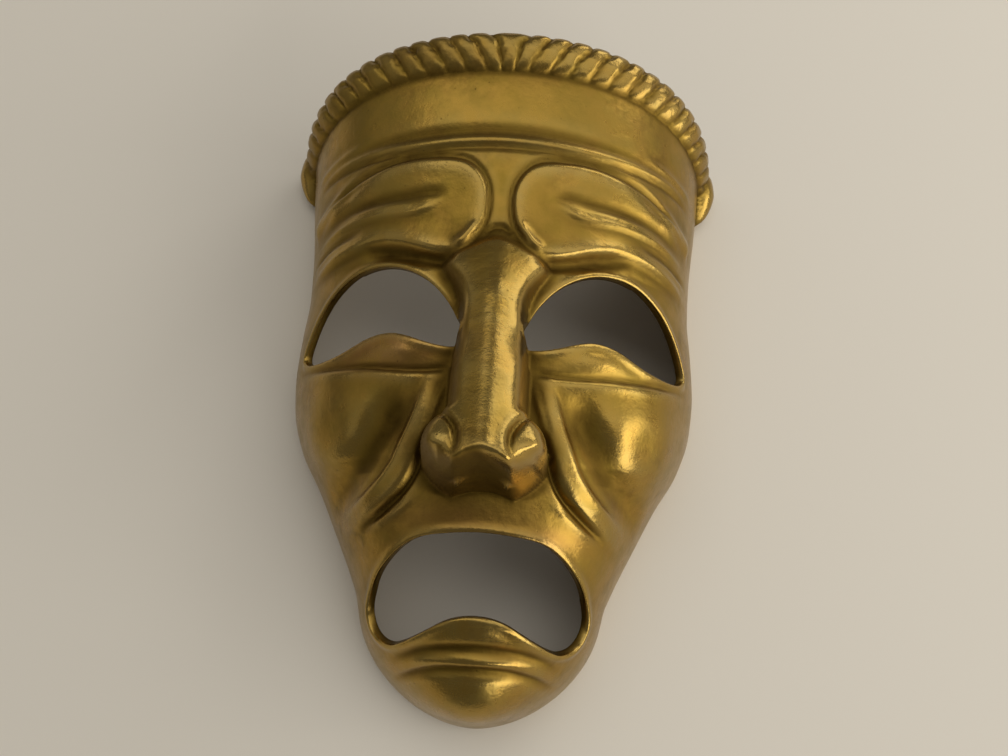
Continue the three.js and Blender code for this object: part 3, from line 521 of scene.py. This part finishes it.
class Skin:
    """A sheet of four-sided cells over the face, fitted to the rim, the openings and the top."""

    def __init__(self, pitch, slant, edge):
        self.edge = edge
        self.eye = wider_loop(EYE, edge)
        self.mouth = wider_loop(MOUTH, edge)
        rows = [np.linspace(start, stop, round((stop - start) / step) + 1)[:-1]
                for start, stop, step in ROWS]
        b = np.concatenate([*rows, [TOP_B]])
        b = np.concatenate([b[b < TOP_B - edge - LEAST_ROW], [TOP_B - edge]])
        run = np.linspace(0, ARC_END, ARC_STEPS)
        route = skin_point(run, np.full(run.shape, float(ROPE_B)))
        arc = np.concatenate([[0], np.cumsum(np.linalg.norm(np.diff(route, axis=0), axis=1))])
        self.arc_table = (run, arc)
        step = pitch / STRAND_COLUMNS
        count = int(arc[-1] / step)
        along = np.arange(-count, count + 1) * step
        leaning = slant * (b - ROPE_B) * ease((b - SLANT_START["b"]) / SLANT_START["length"])
        along = along[None, :] + leaning[:, None] * np.clip(along / pitch, -1, 1)[None, :]
        self.a = np.sign(along) * np.interp(np.abs(along), arc, run)
        self.b = np.broadcast_to(b[:, None], self.a.shape).copy()
        self.find_cells()
        self.fit()

    def along(self, a):
        """Distance from the middle line over the skin at the rope, with a sign."""
        return np.sign(a) * np.interp(np.abs(a), *self.arc_table)

    def kept(self, a, b):
        s = np.abs(a)
        _, _, away, rim, _, _ = oval(a, b)
        return (away < rim - self.edge) & ~in_loop(self.eye, s, b) & ~in_loop(self.mouth, s, b)

    def find_cells(self):
        """Keeps the cells off the openings, and fills those that would touch only by a corner."""
        def centre(grid):
            return (grid[:-1, :-1] + grid[1:, :-1] + grid[:-1, 1:] + grid[1:, 1:]) / 4

        cells = self.kept(centre(self.a), centre(self.b))
        for _ in range(FILL_ROUNDS):
            one = cells[:-1, :-1] & cells[1:, 1:] & ~cells[:-1, 1:] & ~cells[1:, :-1]
            other = cells[:-1, 1:] & cells[1:, :-1] & ~cells[:-1, :-1] & ~cells[1:, 1:]
            cells[:-1, 1:] |= one
            cells[:-1, :-1] |= other
        row, column = np.nonzero(cells)
        wide = self.a.shape[1]
        first = row * wide + column
        quads = np.stack([first, first + 1, first + wide + 1, first + wide], -1)
        used, quads = np.unique(quads, return_inverse=True)
        self.quads = quads.reshape(-1, 4)
        self.a, self.b = self.a.ravel()[used], self.b.ravel()[used]
        sides = np.concatenate([self.quads[:, [i, (i + 1) % 4]] for i in range(4)])
        key = sides[:, 0] * len(used) + sides[:, 1]
        back = sides[:, 1] * len(used) + sides[:, 0]
        self.sides = sides
        self.border = sides[~np.isin(key, back)]

    def snap(self, points):
        """Moves border points to the nearest of the rim, the openings' outlines and the top."""
        a, b = self.a[points], self.b[points]
        s = np.abs(a)
        _, down, away, rim, _, _ = oval(a, b)
        eye_gap, _, eye_foot = from_path(self.eye, s, b)
        mouth_gap, _, mouth_foot = from_path(self.mouth, a, b)
        gaps = np.stack([np.abs(eye_gap), np.abs(mouth_gap), np.abs(rim - self.edge - away),
                         np.abs(TOP_B - self.edge - b)])
        choice = gaps.argmin(0)
        scale = (rim - self.edge) / away
        rim_b = np.where(down > 0, CHIN["b"] - down * scale, b)
        on_rim = (choice == 2) | ((gaps[3] < AT_TOP) & (gaps[2] < NEAR_RIM))
        a = np.select([choice == 0, choice == 1, on_rim],
                      [np.sign(a) * eye_foot[:, 0], mouth_foot[:, 0], a * scale], a)
        b = np.select([choice == 0, choice == 1, on_rim], [eye_foot[:, 1], mouth_foot[:, 1], rim_b], b)
        self.a[points], self.b[points] = a, b

    def fit(self):
        """Settles the cells beside the border, so that it runs smoothly along its outlines."""
        count = len(self.a)
        border = np.unique(self.border)
        on_border = np.zeros(count, bool)
        on_border[border] = True
        near = on_border.copy()
        for _ in range(SETTLING["rows"]):
            reached = np.zeros(count, bool)
            reached[self.sides[near[self.sides[:, 0]], 1]] = True
            reached[self.sides[near[self.sides[:, 1]], 0]] = True
            near |= reached
        self.snap(border)
        edges = np.unique(np.sort(self.sides, 1), axis=0)
        inner = near & ~on_border
        top = self.b > TOP_B - self.edge - AT_TOP
        for _ in range(SETTLING["rounds"]):
            for joined, moved in ((self.border, on_border & ~top), (edges, inner)):
                for value in (self.a, self.b):
                    mean = smoothed(value[:, None], joined, 1)[:, 0]
                    value[moved] += SETTLING["share"] * (mean - value)[moved]
                self.snap(border)
        self.points = border


def shell_arrays(sizes):
    """The skin, the corners and faces of the closed shell in millimetres, and the skin's normals."""
    radius = sizes.edge_radius / MM
    skin = Skin(sizes.strand_pitch / MM, math.tan(sizes.strand_slant), radius)
    outer = face_point(skin.a, skin.b)
    inner = inside_point(skin.a, skin.b, sizes.wall / MM)
    normal = skin_normal(skin.a, skin.b)
    count = len(outer)

    following = np.full(count, -1)
    following[skin.border[:, 0]] = skin.border[:, 1]
    before = np.full(count, -1)
    before[skin.border[:, 1]] = skin.border[:, 0]
    border = skin.points
    if len(border) != len(skin.border) or (following[border] < 0).any():
        raise RuntimeError("The edges of the shell aren't closed lines")
    tangent = outer[following[border]] - outer[before[border]]
    out = np.cross(tangent, normal[border])
    out /= np.linalg.norm(out, axis=1, keepdims=True)
    through = inner[border] - outer[border]
    through /= np.linalg.norm(through, axis=1, keepdims=True)

    def ring(sheet, turn, inwards):
        return sheet[border] + out * radius * math.sin(turn) + inwards * radius * (1 - math.cos(turn))

    turns = [math.radians(angle) for angle in EDGE_ANGLES]
    rings = [ring(outer, turn, through) for turn in turns]
    rings += [ring(inner, turn, -through) for turn in turns[::-1]]
    points = np.vstack([outer, inner, *rings])
    points[:, 2] = np.maximum(points[:, 2], 0)

    place = np.zeros(count, int)
    place[border] = np.arange(len(border))
    start, end = skin.border[:, 0], skin.border[:, 1]
    levels = [(start, end)]
    for number in range(len(rings)):
        first = 2 * count + number * len(border)
        levels.append((first + place[start], first + place[end]))
    levels.append((start + count, end + count))
    faces = [skin.quads, skin.quads[:, ::-1] + count]
    for (u, v), (below_u, below_v) in zip(levels[:-1], levels[1:]):
        faces.append(np.stack([v, u, below_u, below_v], -1))
    return skin, points, np.vstack(faces), normal


def new_piece(name, points, faces):
    mesh = bpy.data.meshes.new(name)
    mesh.from_pydata((points * MM).tolist(), [], faces.tolist())
    mesh.validate()
    mesh.shade_smooth()
    piece = bpy.data.objects.new(name, mesh)
    bpy.context.scene.collection.objects.link(piece)
    return piece


def give_attribute(mesh, name, kind, values):
    attribute = mesh.attributes.new(name, kind, "POINT")
    key = "vector" if kind == "FLOAT_VECTOR" else "value"
    attribute.data.foreach_set(key, np.ascontiguousarray(values, np.float32).ravel())


def flattened(piece):
    """Puts what a piece's modifiers make into a plain mesh of its own."""
    graph = bpy.context.evaluated_depsgraph_get()
    made = bpy.data.meshes.new_from_object(piece.evaluated_get(graph), depsgraph=graph)
    old = piece.data
    piece.modifiers.clear()
    piece.data = made
    name = old.name
    bpy.data.meshes.remove(old)
    made.name = name
    return piece


class Tree:
    """Short calls that add nodes to a tree and join them."""

    def __init__(self, tree):
        self.tree = tree

    def add(self, kind, inputs=None, **settings):
        node = self.tree.nodes.new(kind)
        for name, value in settings.items():
            setattr(node, name, value)
        for key, value in (inputs or {}).items():
            if isinstance(value, bpy.types.NodeSocket):
                self.tree.links.new(value, node.inputs[key])
            else:
                node.inputs[key].default_value = value
        return node

    def math(self, operation, *values, clamp=False):
        inputs = dict(enumerate(values))
        return self.add("ShaderNodeMath", inputs, operation=operation, use_clamp=clamp).outputs[0]

    def plus(self, one, two):
        return self.math("ADD", one, two)

    def minus(self, one, two):
        return self.math("SUBTRACT", one, two)

    def times(self, *values, clamp=False):
        product = values[0]
        for value in values[1:]:
            product = self.math("MULTIPLY", product, value, clamp=clamp)
        return product

    def over(self, one, two):
        return self.math("DIVIDE", one, two)

    def plus_shares(self, value, *shares):
        """A value plus each of some others times a factor of its own."""
        for other, factor in shares:
            value = self.math("MULTIPLY_ADD", other, factor, value)
        return value

    def scaled(self, vector, factor):
        inputs = {0: vector, "Scale": factor}
        return self.add("ShaderNodeVectorMath", inputs, operation="SCALE").outputs[0]

    def mix(self, share, one, two):
        node = self.add("ShaderNodeMix", {"Factor": share}, data_type="RGBA")
        for key, value in ((6, one), (7, two)):
            if isinstance(value, bpy.types.NodeSocket):
                self.tree.links.new(value, node.inputs[key])
            else:
                node.inputs[key].default_value = (*value, 1)
        return node.outputs[2]

    def remap(self, value, low, high, to_low=0.0, to_high=1.0):
        inputs = {"Value": value, "From Min": low, "From Max": high, "To Min": to_low, "To Max": to_high}
        return self.add("ShaderNodeMapRange", inputs).outputs[0]


# The rope's inputs, the properties that they come from, and whether those are lengths
ROPE_INPUTS = (
    ("Strand Pitch", "strand_pitch", True),
    ("Strand Slant", "strand_slant", False),
    ("Half Width", "rope_half_width", True),
    ("Height", "rope_height", True),
    ("Groove", "rope_groove", False),
    ("Scallop", "rope_scallop", False),
    ("Wobble", "rope_wobble", True),
    ("Tilt", "rope_tilt", False),
)


def rope_tree():
    """Geometry Nodes that raise the rope and its leaves out of the skin, in millimetres."""
    group = bpy.data.node_groups.new("Rope border", "GeometryNodeTree")
    kinds = [("Geometry", "Geometry"), *[(name, "Float") for name, _, _ in ROPE_INPUTS],
             ("Material", "Material")]
    for name, kind in kinds:
        group.interface.new_socket(name, in_out="INPUT", socket_type="NodeSocket" + kind)
    group.interface.new_socket("Geometry", in_out="OUTPUT", socket_type="NodeSocketGeometry")
    tree = Tree(group)
    given = tree.add("NodeGroupInput").outputs

    def named(name, kind="FLOAT"):
        node = tree.add("GeometryNodeInputNamedAttribute", {"Name": name}, data_type=kind)
        return node.outputs["Attribute"]

    along, across, leaf = named("along"), named("across"), named("leaf")
    turned = tree.over(along, given["Strand Pitch"])
    turned = tree.math("MINIMUM", tree.math("MAXIMUM", turned, -1.0), 1.0)
    shift = tree.times(tree.math("TANGENT", given["Strand Slant"]), across, turned)
    where = tree.add("ShaderNodeCombineXYZ", {"X": along, "Y": across}).outputs[0]
    noise = tree.add("ShaderNodeTexNoise", {"Vector": where, "Scale": ROPE_FORM["wobble"], "Detail": 1.0})
    shift = tree.plus(shift, tree.times(tree.minus(noise.outputs["Fac"], 0.5), given["Wobble"]))
    strand = tree.over(tree.minus(along, shift), given["Strand Pitch"])
    part = tree.minus(strand, tree.math("ROUND", strand))
    side = tree.times(tree.math("ABSOLUTE", part), 2.0)
    side = tree.math("POWER", side, ROPE_FORM["strand_power"])
    round_top = tree.minus(1.0, tree.times(side, given["Groove"]))
    from_middle = tree.over(across, given["Half Width"])
    reach = tree.math("POWER", tree.math("ABSOLUTE", from_middle), ROPE_FORM["end_power"])
    reach = tree.times(reach, tree.math("MULTIPLY_ADD", side, given["Scallop"], 1.0))
    fall = tree.math("MAXIMUM", tree.minus(1.0, reach), 0.0)
    height = tree.times(tree.math("SQRT", tree.times(fall, round_top)), given["Height"])
    tilt = tree.math("MULTIPLY_ADD", from_middle, given["Tilt"], 1.0)
    height = tree.times(height, tree.math("MINIMUM", tilt, 1.0))
    height = tree.math("MAXIMUM", height, leaf)
    offset = tree.scaled(named("out", "FLOAT_VECTOR"), height)
    moved = tree.add("GeometryNodeSetPosition", {"Geometry": given["Geometry"], "Offset": offset})

    # Painted shade: the rope is darker and duller towards the viewer's left, away from the window, and in
    # the grooves between strands, as tarnish and painted shade; it is stored as groove
    left_shade = tree.remap(along, ROPE_LEFT_SHADE["start"], ROPE_LEFT_SHADE["end"], ROPE_LEFT_SHADE["most"], 0.0)
    dark = tree.math("MAXIMUM", tree.math("POWER", side, ROPE_FORM["dark_power"]), left_shade)
    dark = tree.times(dark, tree.remap(fall, 0.0, ROPE_FORM["dark_rise"]))
    dark = tree.times(dark, tree.math("LESS_THAN", leaf, 0.5))
    kept = tree.add("GeometryNodeStoreNamedAttribute", {"Geometry": moved.outputs[0], "Name": "groove",
                                                        "Value": dark}, domain="POINT")
    whole = tree.add("GeometryNodeRealizeInstances", {"Geometry": kept.outputs[0]})
    finished = tree.add("GeometryNodeSetMaterial", {"Geometry": whole.outputs[0],
                                                    "Material": given["Material"]})
    tree.add("NodeGroupOutput", {"Geometry": finished.outputs[0]})
    return group


def raise_rope(piece, sizes, material):
    modifier = piece.modifiers.new("Rope", "NODES")
    modifier.node_group = rope_tree()
    identifiers = {item.name: item.identifier for item in modifier.node_group.interface.items_tree
                   if item.in_out == "INPUT"}
    for name, prop, is_length in ROPE_INPUTS:
        modifier[identifiers[name]] = getattr(sizes, prop) / (MM if is_length else 1)
    modifier[identifiers["Material"]] = material
    flattened(piece)


def mesh_values(items, name, size, kind=np.float32):
    """A value of all points or edges of a mesh, with a row for each."""
    values = np.zeros(len(items) * size, kind)
    items.foreach_get(name, values)
    return values.reshape(-1, size)


def round_wings(piece):
    """Rounds the lower edges of the nose's wings."""
    mesh = piece.data
    points = mesh_values(mesh.vertices, "co", 3).astype(float)
    edges = mesh_values(mesh.edges, "vertices", 2, np.int32)
    s, b, z = np.abs(points[:, 0]) / MM, points[:, 1] / MM - SHIFT, points[:, 2] / MM
    share = (within(s, *WING_ROUNDING["s"]) * within(b, *WING_ROUNDING["b"])
             * within(z, *WING_ROUNDING["z"]))
    points += share[:, None] * (smoothed(points, edges, WING_ROUNDING["rounds"]) - points)
    mesh.vertices.foreach_set("co", points.astype(np.float32).ravel())
    mesh.update()


def mark_wear(piece):
    """Stores where the surface is recessed, joined with the painted shade on the nose, rope and inside,
    and where its edges are worn.
    """
    mesh = piece.data
    points = mesh_values(mesh.vertices, "co", 3).astype(float) / MM
    normals = mesh_values(mesh.vertices, "normal", 3).astype(float)
    edges = mesh_values(mesh.edges, "vertices", 2, np.int32)
    fine = smoothed(points, edges, EVEN_ROUNDS["fine"])
    broad = smoothed(fine, edges, EVEN_ROUNDS["broad"])
    sunk = [((even - points) * normals).sum(1) for even in (fine, broad)]

    def marked(limits):
        shares = [np.clip(by / full, 0, 1) * share for by, (full, share) in zip(sunk, limits)]
        return np.clip(sum(shares), 0, 1)

    even = smoothed(np.stack([marked(RECESS), marked(WORN)], -1), edges, EVEN_ROUNDS["last"])
    shade, groove = (mesh_values(mesh.attributes[name].data, "value", 1)[:, 0]
                     for name in ("shade", "groove"))
    # The painted shade darkens like the tarnish of the recesses, and no edge in it is worn
    shade = np.maximum(shade, groove)
    give_attribute(mesh, "patina_and_shade_amount", "FLOAT", np.maximum(even[:, 0], shade * SHADE_RECESS))
    give_attribute(mesh, "worn", "FLOAT", even[:, 1] * (1 - shade))


# Looks of the metal: sizes in millimetres and detail of its noises from broad patches to grain, the
# distance of the pits, the stretch and turn of the scratches, and how deep the bumps are
NOISES = [(26, 3), (7, 4), (2.2, 3), (0.7, 3), (0.25, 2)]
NOISE_ROUGHNESS = 0.6
PIT_DISTANCE = 3.2
SCRATCH_NOISE = (1.6, 3)
SCRATCH_TURN = {"Scale": (0.06, 1.6, 0.3), "Rotation": (0.2, 0.1, 0.5)}
BUMP_DEPTH = 0.4


def brass_material(finish):
    """Satin cast brass: brown in the recesses and with painted shade on the nose, the rope and the inside,
    bright on worn edges, pitted and lightly scratched.
    """
    material = bpy.data.materials.new("brass")
    material.use_nodes = True
    nodes = material.node_tree
    nodes.nodes.clear()
    tree = Tree(nodes)
    place = tree.scaled(tree.add("ShaderNodeTexCoord").outputs["Object"], 1 / MM)

    def noise(where, size, detail):
        inputs = {"Vector": where, "Scale": 1 / size, "Detail": detail, "Roughness": NOISE_ROUGHNESS}
        return tree.add("ShaderNodeTexNoise", inputs).outputs["Fac"]

    patina_and_shade_amount, worn, copper = (tree.add("ShaderNodeAttribute", attribute_name=name).outputs["Fac"]
                            for name in ("patina_and_shade_amount", "worn", "copper"))
    broad, medium, small, fine, grain = (noise(place, *form) for form in NOISES)
    pits = tree.add("ShaderNodeTexVoronoi", {"Vector": place, "Scale": 1 / PIT_DISTANCE})
    pits = tree.remap(pits.outputs["Distance"], 0.05, 0.1, 1.0, 0.0)
    pits = tree.times(pits, tree.remap(medium, 0.5, 0.62))
    drawn = tree.add("ShaderNodeMapping", {"Vector": place, **SCRATCH_TURN}).outputs[0]
    scratches = tree.remap(noise(drawn, *SCRATCH_NOISE), 0.58, 0.68)

    smudge = tree.times(tree.remap(broad, 0.5, 0.66), tree.remap(small, 0.35, 0.65))
    redder = tree.times(copper, tree.remap(medium, 0.3, 0.6, 0.3, 1.0))
    bright = tree.times(worn, tree.remap(medium, 0.3, 0.6, 0.35, 1.0))
    # Tarnish of the recesses and painted shade, read from one attribute, darken the colour and roughen the
    # metal
    dark = tree.times(patina_and_shade_amount, tree.remap(medium, 0.2, 0.6, 1.1, 0.75), clamp=True)
    colour = tree.mix(tree.remap(broad, 0.35, 0.65), finish.metal[:], finish.metal_warm[:])
    tints = [
        (tree.times(tree.remap(medium, 0.4, 0.66), 0.6), finish.metal_olive),
        (tree.times(smudge, 0.4), finish.patina_and_shade_colour),
        (redder, finish.copper),
        (tree.times(bright, 0.45), finish.worn_metal),
        (dark, finish.patina_and_shade_colour),
        (tree.times(pits, 0.7), finish.patina_and_shade_colour),
    ]
    for share, tint in tints:
        colour = tree.mix(share, colour, tint[:])

    rough = tree.plus(finish.roughness, tree.remap(medium, 0.3, 0.7, -0.05, 0.07))
    rough = tree.plus_shares(rough, (dark, 0.3), (bright, -0.13), (scratches, 0.03))
    height = tree.plus_shares(tree.times(medium, 0.6), (small, 0.12), (fine, 0.07), (grain, 0.012),
                              (pits, -0.12), (scratches, -0.004))
    bump = tree.add("ShaderNodeBump", {"Height": height, "Distance": BUMP_DEPTH * MM, "Strength": 1.0})
    shader = tree.add("ShaderNodeBsdfPrincipled", {
        "Base Color": colour,
        "Metallic": 1.0,
        "Roughness": rough,
        "Normal": bump.outputs[0],
    })
    tree.add("ShaderNodeOutputMaterial", {"Surface": shader.outputs[0]})
    return material


def floor_material(stage):
    material = bpy.data.materials.new("floor")
    material.use_nodes = True
    shader = material.node_tree.nodes["Principled BSDF"]
    shader.inputs["Base Color"].default_value = (*stage.floor, 1)
    shader.inputs["Roughness"].default_value = stage.floor_roughness
    return material


def length_property(name, description, size, low=0):
    """A length, with its default and its least value given in millimetres."""
    return FloatProperty(name=name, description=description, default=size * MM, min=low * MM,
                         unit="LENGTH")


def share_property(name, description, share, low=0):
    return FloatProperty(name=name, description=description, default=share, min=low, max=1,
                         subtype="FACTOR")


def colour_property(name, description, colour):
    return FloatVectorProperty(name=name, description=description, default=colour, min=0, max=1,
                               size=3, subtype="COLOR")


class MaskSizes(bpy.types.PropertyGroup):
    wall: length_property("Wall", "Thickness of the cast wall", 2.2, low=1)
    edge_radius: length_property("Edge radius", "Rounding of the wall's edges", 0.45, low=0.1)
    strand_pitch: length_property("Strand pitch", "Distance from strand to strand", 6.05, low=1)
    strand_slant: FloatProperty(name="Strand slant", description="Lean of the rope's strands",
                                default=math.radians(36), subtype="ANGLE")
    rope_half_width: length_property("Rope half width", "Half of the rope's width", 4.9, low=1)
    rope_height: length_property("Rope height", "Height of the rope over the skin", 3.3)
    rope_groove: share_property("Rope groove", "Depth of the grooves between strands", 0.75)
    rope_scallop: share_property("Rope scallop", "Rounding of the strands' ends", 0.2)
    rope_wobble: length_property("Rope wobble", "Unevenness of the strands", 3)
    rope_tilt: share_property("Rope tilt", "How much lower the rope's inner edge is", 0.5)
    inside_share: share_property("Inside share", "Share of the inside's faces that is kept", 0.61, low=0.1)


class MaskFinish(bpy.types.PropertyGroup):
    metal: colour_property("Metal", "Main colour of the brass", (0.335, 0.208, 0.034))
    metal_warm: colour_property("Warm metal", "Colour of warmer patches", (0.365, 0.216, 0.040))
    metal_olive: colour_property("Olive metal", "Colour of duller patches", (0.24, 0.162, 0.022))
    worn_metal: colour_property("Worn metal", "Colour of the worn edges", (0.52, 0.375, 0.14))
    copper: colour_property("Copper tint", "Colour of the reddish patches", (0.31, 0.145, 0.045))
    # Colour of the tarnish in the recesses, also used for the painted shade on the nose, the rope and the
    # inside
    patina_and_shade_colour: colour_property("Patina", "Colour of the recesses", (0.075, 0.043, 0.007))
    roughness: share_property("Roughness", "Roughness of the metal", 0.31)


class StageSettings(bpy.types.PropertyGroup):
    floor: colour_property("Floor", "Colour of the floor", (0.81, 0.76, 0.665))
    floor_roughness: share_property("Floor roughness", "Roughness of the floor", 0.9)
    floor_size: length_property("Floor size", "Side of the floor", 3000, low=500)
    room: colour_property("Room", "Colour of the light from all sides", (1.0, 0.96, 0.90))
    room_strength: FloatProperty(name="Room strength", description="Strength of the light from all sides",
                                 default=0.17, min=0)
    lens: FloatProperty(name="Lens", description="Focal length of the camera", default=30.357, min=1,
                        unit="CAMERA")


def nose_shade(skin, z):
    """Painted shade on the nose's underside and walls at the skin's points, which lie at heights z."""
    s, b = np.abs(skin.a), skin.b
    left = ease((SHADE_MIDDLE["a"] - skin.a) / SHADE_MIDDLE["length"])
    skin_z = skin_point(s, b)[:, 2]
    # Painted shade under the nose, higher and softer on the left
    form = UNDER_SHADE
    under = ease((nose_bottom(s) + form["higher"] * left - b) / (form["soft"] + form["softer"] * left))
    under *= 1 - (1 - left) * ease((s - form["wing_s"]) / form["wing_length"])
    under *= ease(nose_height(s, b, skin_z) / form["rise"])
    # Painted shade on the steep walls, more on the left and none on the lit right wing
    form, step = WALL_SHADE, 0.1
    slope = nose_height(np.maximum(s - step, 0), b, skin_z) - nose_height(s + step, b, skin_z)
    slope /= 2 * step
    walls = ease((slope - form["slope"] + form["sooner"] * left) / (form["length"] - left))
    walls *= form["most"] + form["more"] * left
    walls *= 1 - (1 - left) * ease((form["wing_b"] - b) / form["wing_length"])
    radius = NOSTRIL["bead_radius"]
    bead = bell((z - NOSTRIL["z"]) / radius) * bell((s - NOSTRIL["x"]) / radius)
    return np.maximum(under, walls) * (1 - bead)


def mark_skin(mesh, skin, points, normal):
    """Stores what the rope's nodes and the finish need, on the outer sheet and its rounded edge."""
    count, ring = len(skin.a), len(skin.points)

    def store(name, values, rest=0.0, kind="FLOAT"):
        full = np.full((len(points), *values.shape[1:]), rest)
        full[:count] = values
        for level in range(len(EDGE_ANGLES)):
            first = 2 * count + level * ring
            full[first:first + ring] = values[skin.points]
        give_attribute(mesh, name, kind, full)

    copper = sum(strength * bell((skin.a - a) / da) * bell((skin.b - b) / db)
                 for a, b, da, db, strength in COPPER_PATCHES)
    store("along", skin.along(skin.a))
    store("across", skin.b - ROPE_B, rest=OFF_ROPE)
    store("leaf", leaf_relief(np.abs(skin.a), skin.b))
    store("out", normal * MM, kind="FLOAT_VECTOR")
    store("copper", copper)
    # Painted shade on the nose; the inside and the inner half of each rounded edge take full shade,
    # painted shade on the walls of the openings and the darker tarnish of the back
    store("shade", nose_shade(skin, points[:count, 2]), rest=1.0)


def thin_inside(piece, skin, share):
    """Keeps a share of the faces inside, where the form is plain."""
    count = len(skin.a)
    hidden = np.ones(count, bool)
    hidden[skin.points] = False
    inside = piece.vertex_groups.new(name="inside")
    inside.add((np.nonzero(hidden)[0] + count).tolist(), 1.0, "REPLACE")
    fewer = piece.modifiers.new("Fewer faces inside", "DECIMATE")
    fewer.ratio = share
    fewer.vertex_group = "inside"
    flattened(piece)


class MASK_OT_make_mask(bpy.types.Operator):
    """Makes the cast mask with its rope border"""

    bl_idname = "mask.make_mask"
    bl_label = "Mask"

    def execute(self, context):
        sizes = context.scene.mask_sizes
        skin, points, faces, normal = shell_arrays(sizes)
        points[:, 1] += SHIFT
        piece = new_piece("mask_cast", points, faces)
        mark_skin(piece.data, skin, points, normal)
        thin_inside(piece, skin, sizes.inside_share)
        raise_rope(piece, sizes, brass_material(context.scene.mask_finish))
        round_wings(piece)
        mark_wear(piece)
        for name in ("along", "across", "leaf", "out", "shade", "groove"):
            piece.data.attributes.remove(piece.data.attributes[name])
        piece.vertex_groups.clear()
        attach(piece, "root")
        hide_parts("mask")
        return {"FINISHED"}


# Camera, in millimetres from the middle of the eye line: its place, the directions that it looks in
# and holds upwards, its shift as a share of the image's width, and its sensor's width
CAMERA_PLACE = (6.938, -76.063, 264.374)
CAMERA_FORWARD = (-0.027133, 0.308590, -0.950808)
CAMERA_UP = (-0.053960, 0.949319, 0.309647)
CAMERA_SHIFT = (10.25 / 1008, -19.2 / 1008)
SENSOR_WIDTH = 36
NEAREST_SEEN = 0.01

# Soft lights: name, place and aim in metres from the mask, size and power
DAYLIGHT = (1.0, 0.97, 0.92)
LIGHTS = [
    ("window", (0.97, -0.51, 0.49), (0.0, 0.0, 0.03), (1.50, 0.55), 8.2),
    ("far window", (0.69, 0.88, 0.45), (0.0, 0.0, 0.03), (0.70, 0.50), 2.4),
    ("right wall", (1.15, 0.25, 0.45), (0.0, 0.0, 0.03), (0.70, 0.55), 0.9),
    ("ceiling", (0.17, 0.42, 1.12), (0.0, 0.0, 0.0), (2.30, 1.00), 6.3),
    ("left wall", (-0.95, 0.20, 0.70), (0.0, 0.0, 0.03), (1.60, 0.80), 0.8),
]


class MASK_OT_make_stage(bpy.types.Operator):
    """Makes the floor, the lights and the camera"""

    bl_idname = "mask.make_stage"
    bl_label = "Stage"

    def execute(self, context):
        scene = context.scene
        stage = scene.mask_stage
        half = stage.floor_size / 2
        mesh = bpy.data.meshes.new("floor")
        corners = [(-half, -half, 0), (half, -half, 0), (half, half, 0), (-half, half, 0)]
        mesh.from_pydata(corners, [], [(0, 1, 2, 3)])
        mesh.materials.append(floor_material(stage))
        floor = bpy.data.objects.new("floor", mesh)
        scene.collection.objects.link(floor)

        world = bpy.data.worlds.new("room")
        world.use_nodes = True
        background = world.node_tree.nodes["Background"]
        background.inputs["Color"].default_value = (*stage.room, 1)
        background.inputs["Strength"].default_value = stage.room_strength
        scene.world = world

        for name, place, aim, size, power in LIGHTS:
            light = bpy.data.lights.new(name, "AREA")
            light.shape = "RECTANGLE"
            light.size, light.size_y = size
            light.energy = power
            light.color = DAYLIGHT
            lamp = bpy.data.objects.new(name, light)
            lamp.location = place
            direction = Vector(aim) - Vector(place)
            lamp.rotation_euler = direction.to_track_quat("-Z", "Y").to_euler()
            scene.collection.objects.link(lamp)

        camera = bpy.data.cameras.new("camera")
        camera.lens = stage.lens
        camera.sensor_width = SENSOR_WIDTH
        camera.shift_x, camera.shift_y = CAMERA_SHIFT
        camera.clip_start = NEAREST_SEEN
        eye = bpy.data.objects.new("camera", camera)
        forward, up = Vector(CAMERA_FORWARD), Vector(CAMERA_UP)
        right = forward.cross(up)
        turn = Matrix((right, up, -forward)).transposed().to_4x4()
        place = Vector(CAMERA_PLACE) * MM + Vector((0, SHIFT * MM, 0))
        eye.matrix_world = Matrix.Translation(place) @ turn
        scene.collection.objects.link(eye)
        scene.camera = eye
        scene.view_settings.view_transform = "Standard"
        return {"FINISHED"}


class MASK_PT_panel(bpy.types.Panel):
    bl_label = "Theatre mask"
    bl_idname = "MASK_PT_panel"
    bl_space_type = "VIEW_3D"
    bl_region_type = "UI"
    bl_category = "Mask"

    def draw(self, context):
        layout = self.layout
        for group in (context.scene.mask_sizes, context.scene.mask_finish, context.scene.mask_stage):
            box = layout.box()
            for name in group.__annotations__:
                box.prop(group, name)
        for operator in OPERATORS:
            layout.operator(operator.bl_idname)


OPERATORS = (MASK_OT_make_mask, MASK_OT_make_stage)
CLASSES = (MaskSizes, MaskFinish, StageSettings, *OPERATORS, MASK_PT_panel)


def register():
    for cls in CLASSES:
        bpy.utils.register_class(cls)
    bpy.types.Scene.mask_sizes = PointerProperty(type=MaskSizes)
    bpy.types.Scene.mask_finish = PointerProperty(type=MaskFinish)
    bpy.types.Scene.mask_stage = PointerProperty(type=StageSettings)


def unregister():
    del bpy.types.Scene.mask_sizes
    del bpy.types.Scene.mask_finish
    del bpy.types.Scene.mask_stage
    for cls in reversed(CLASSES):
        bpy.utils.unregister_class(cls)


def main():
    register()
    bpy.ops.mask.make_mask()
    bpy.ops.mask.make_stage()


if __name__ == "__main__":
    main()
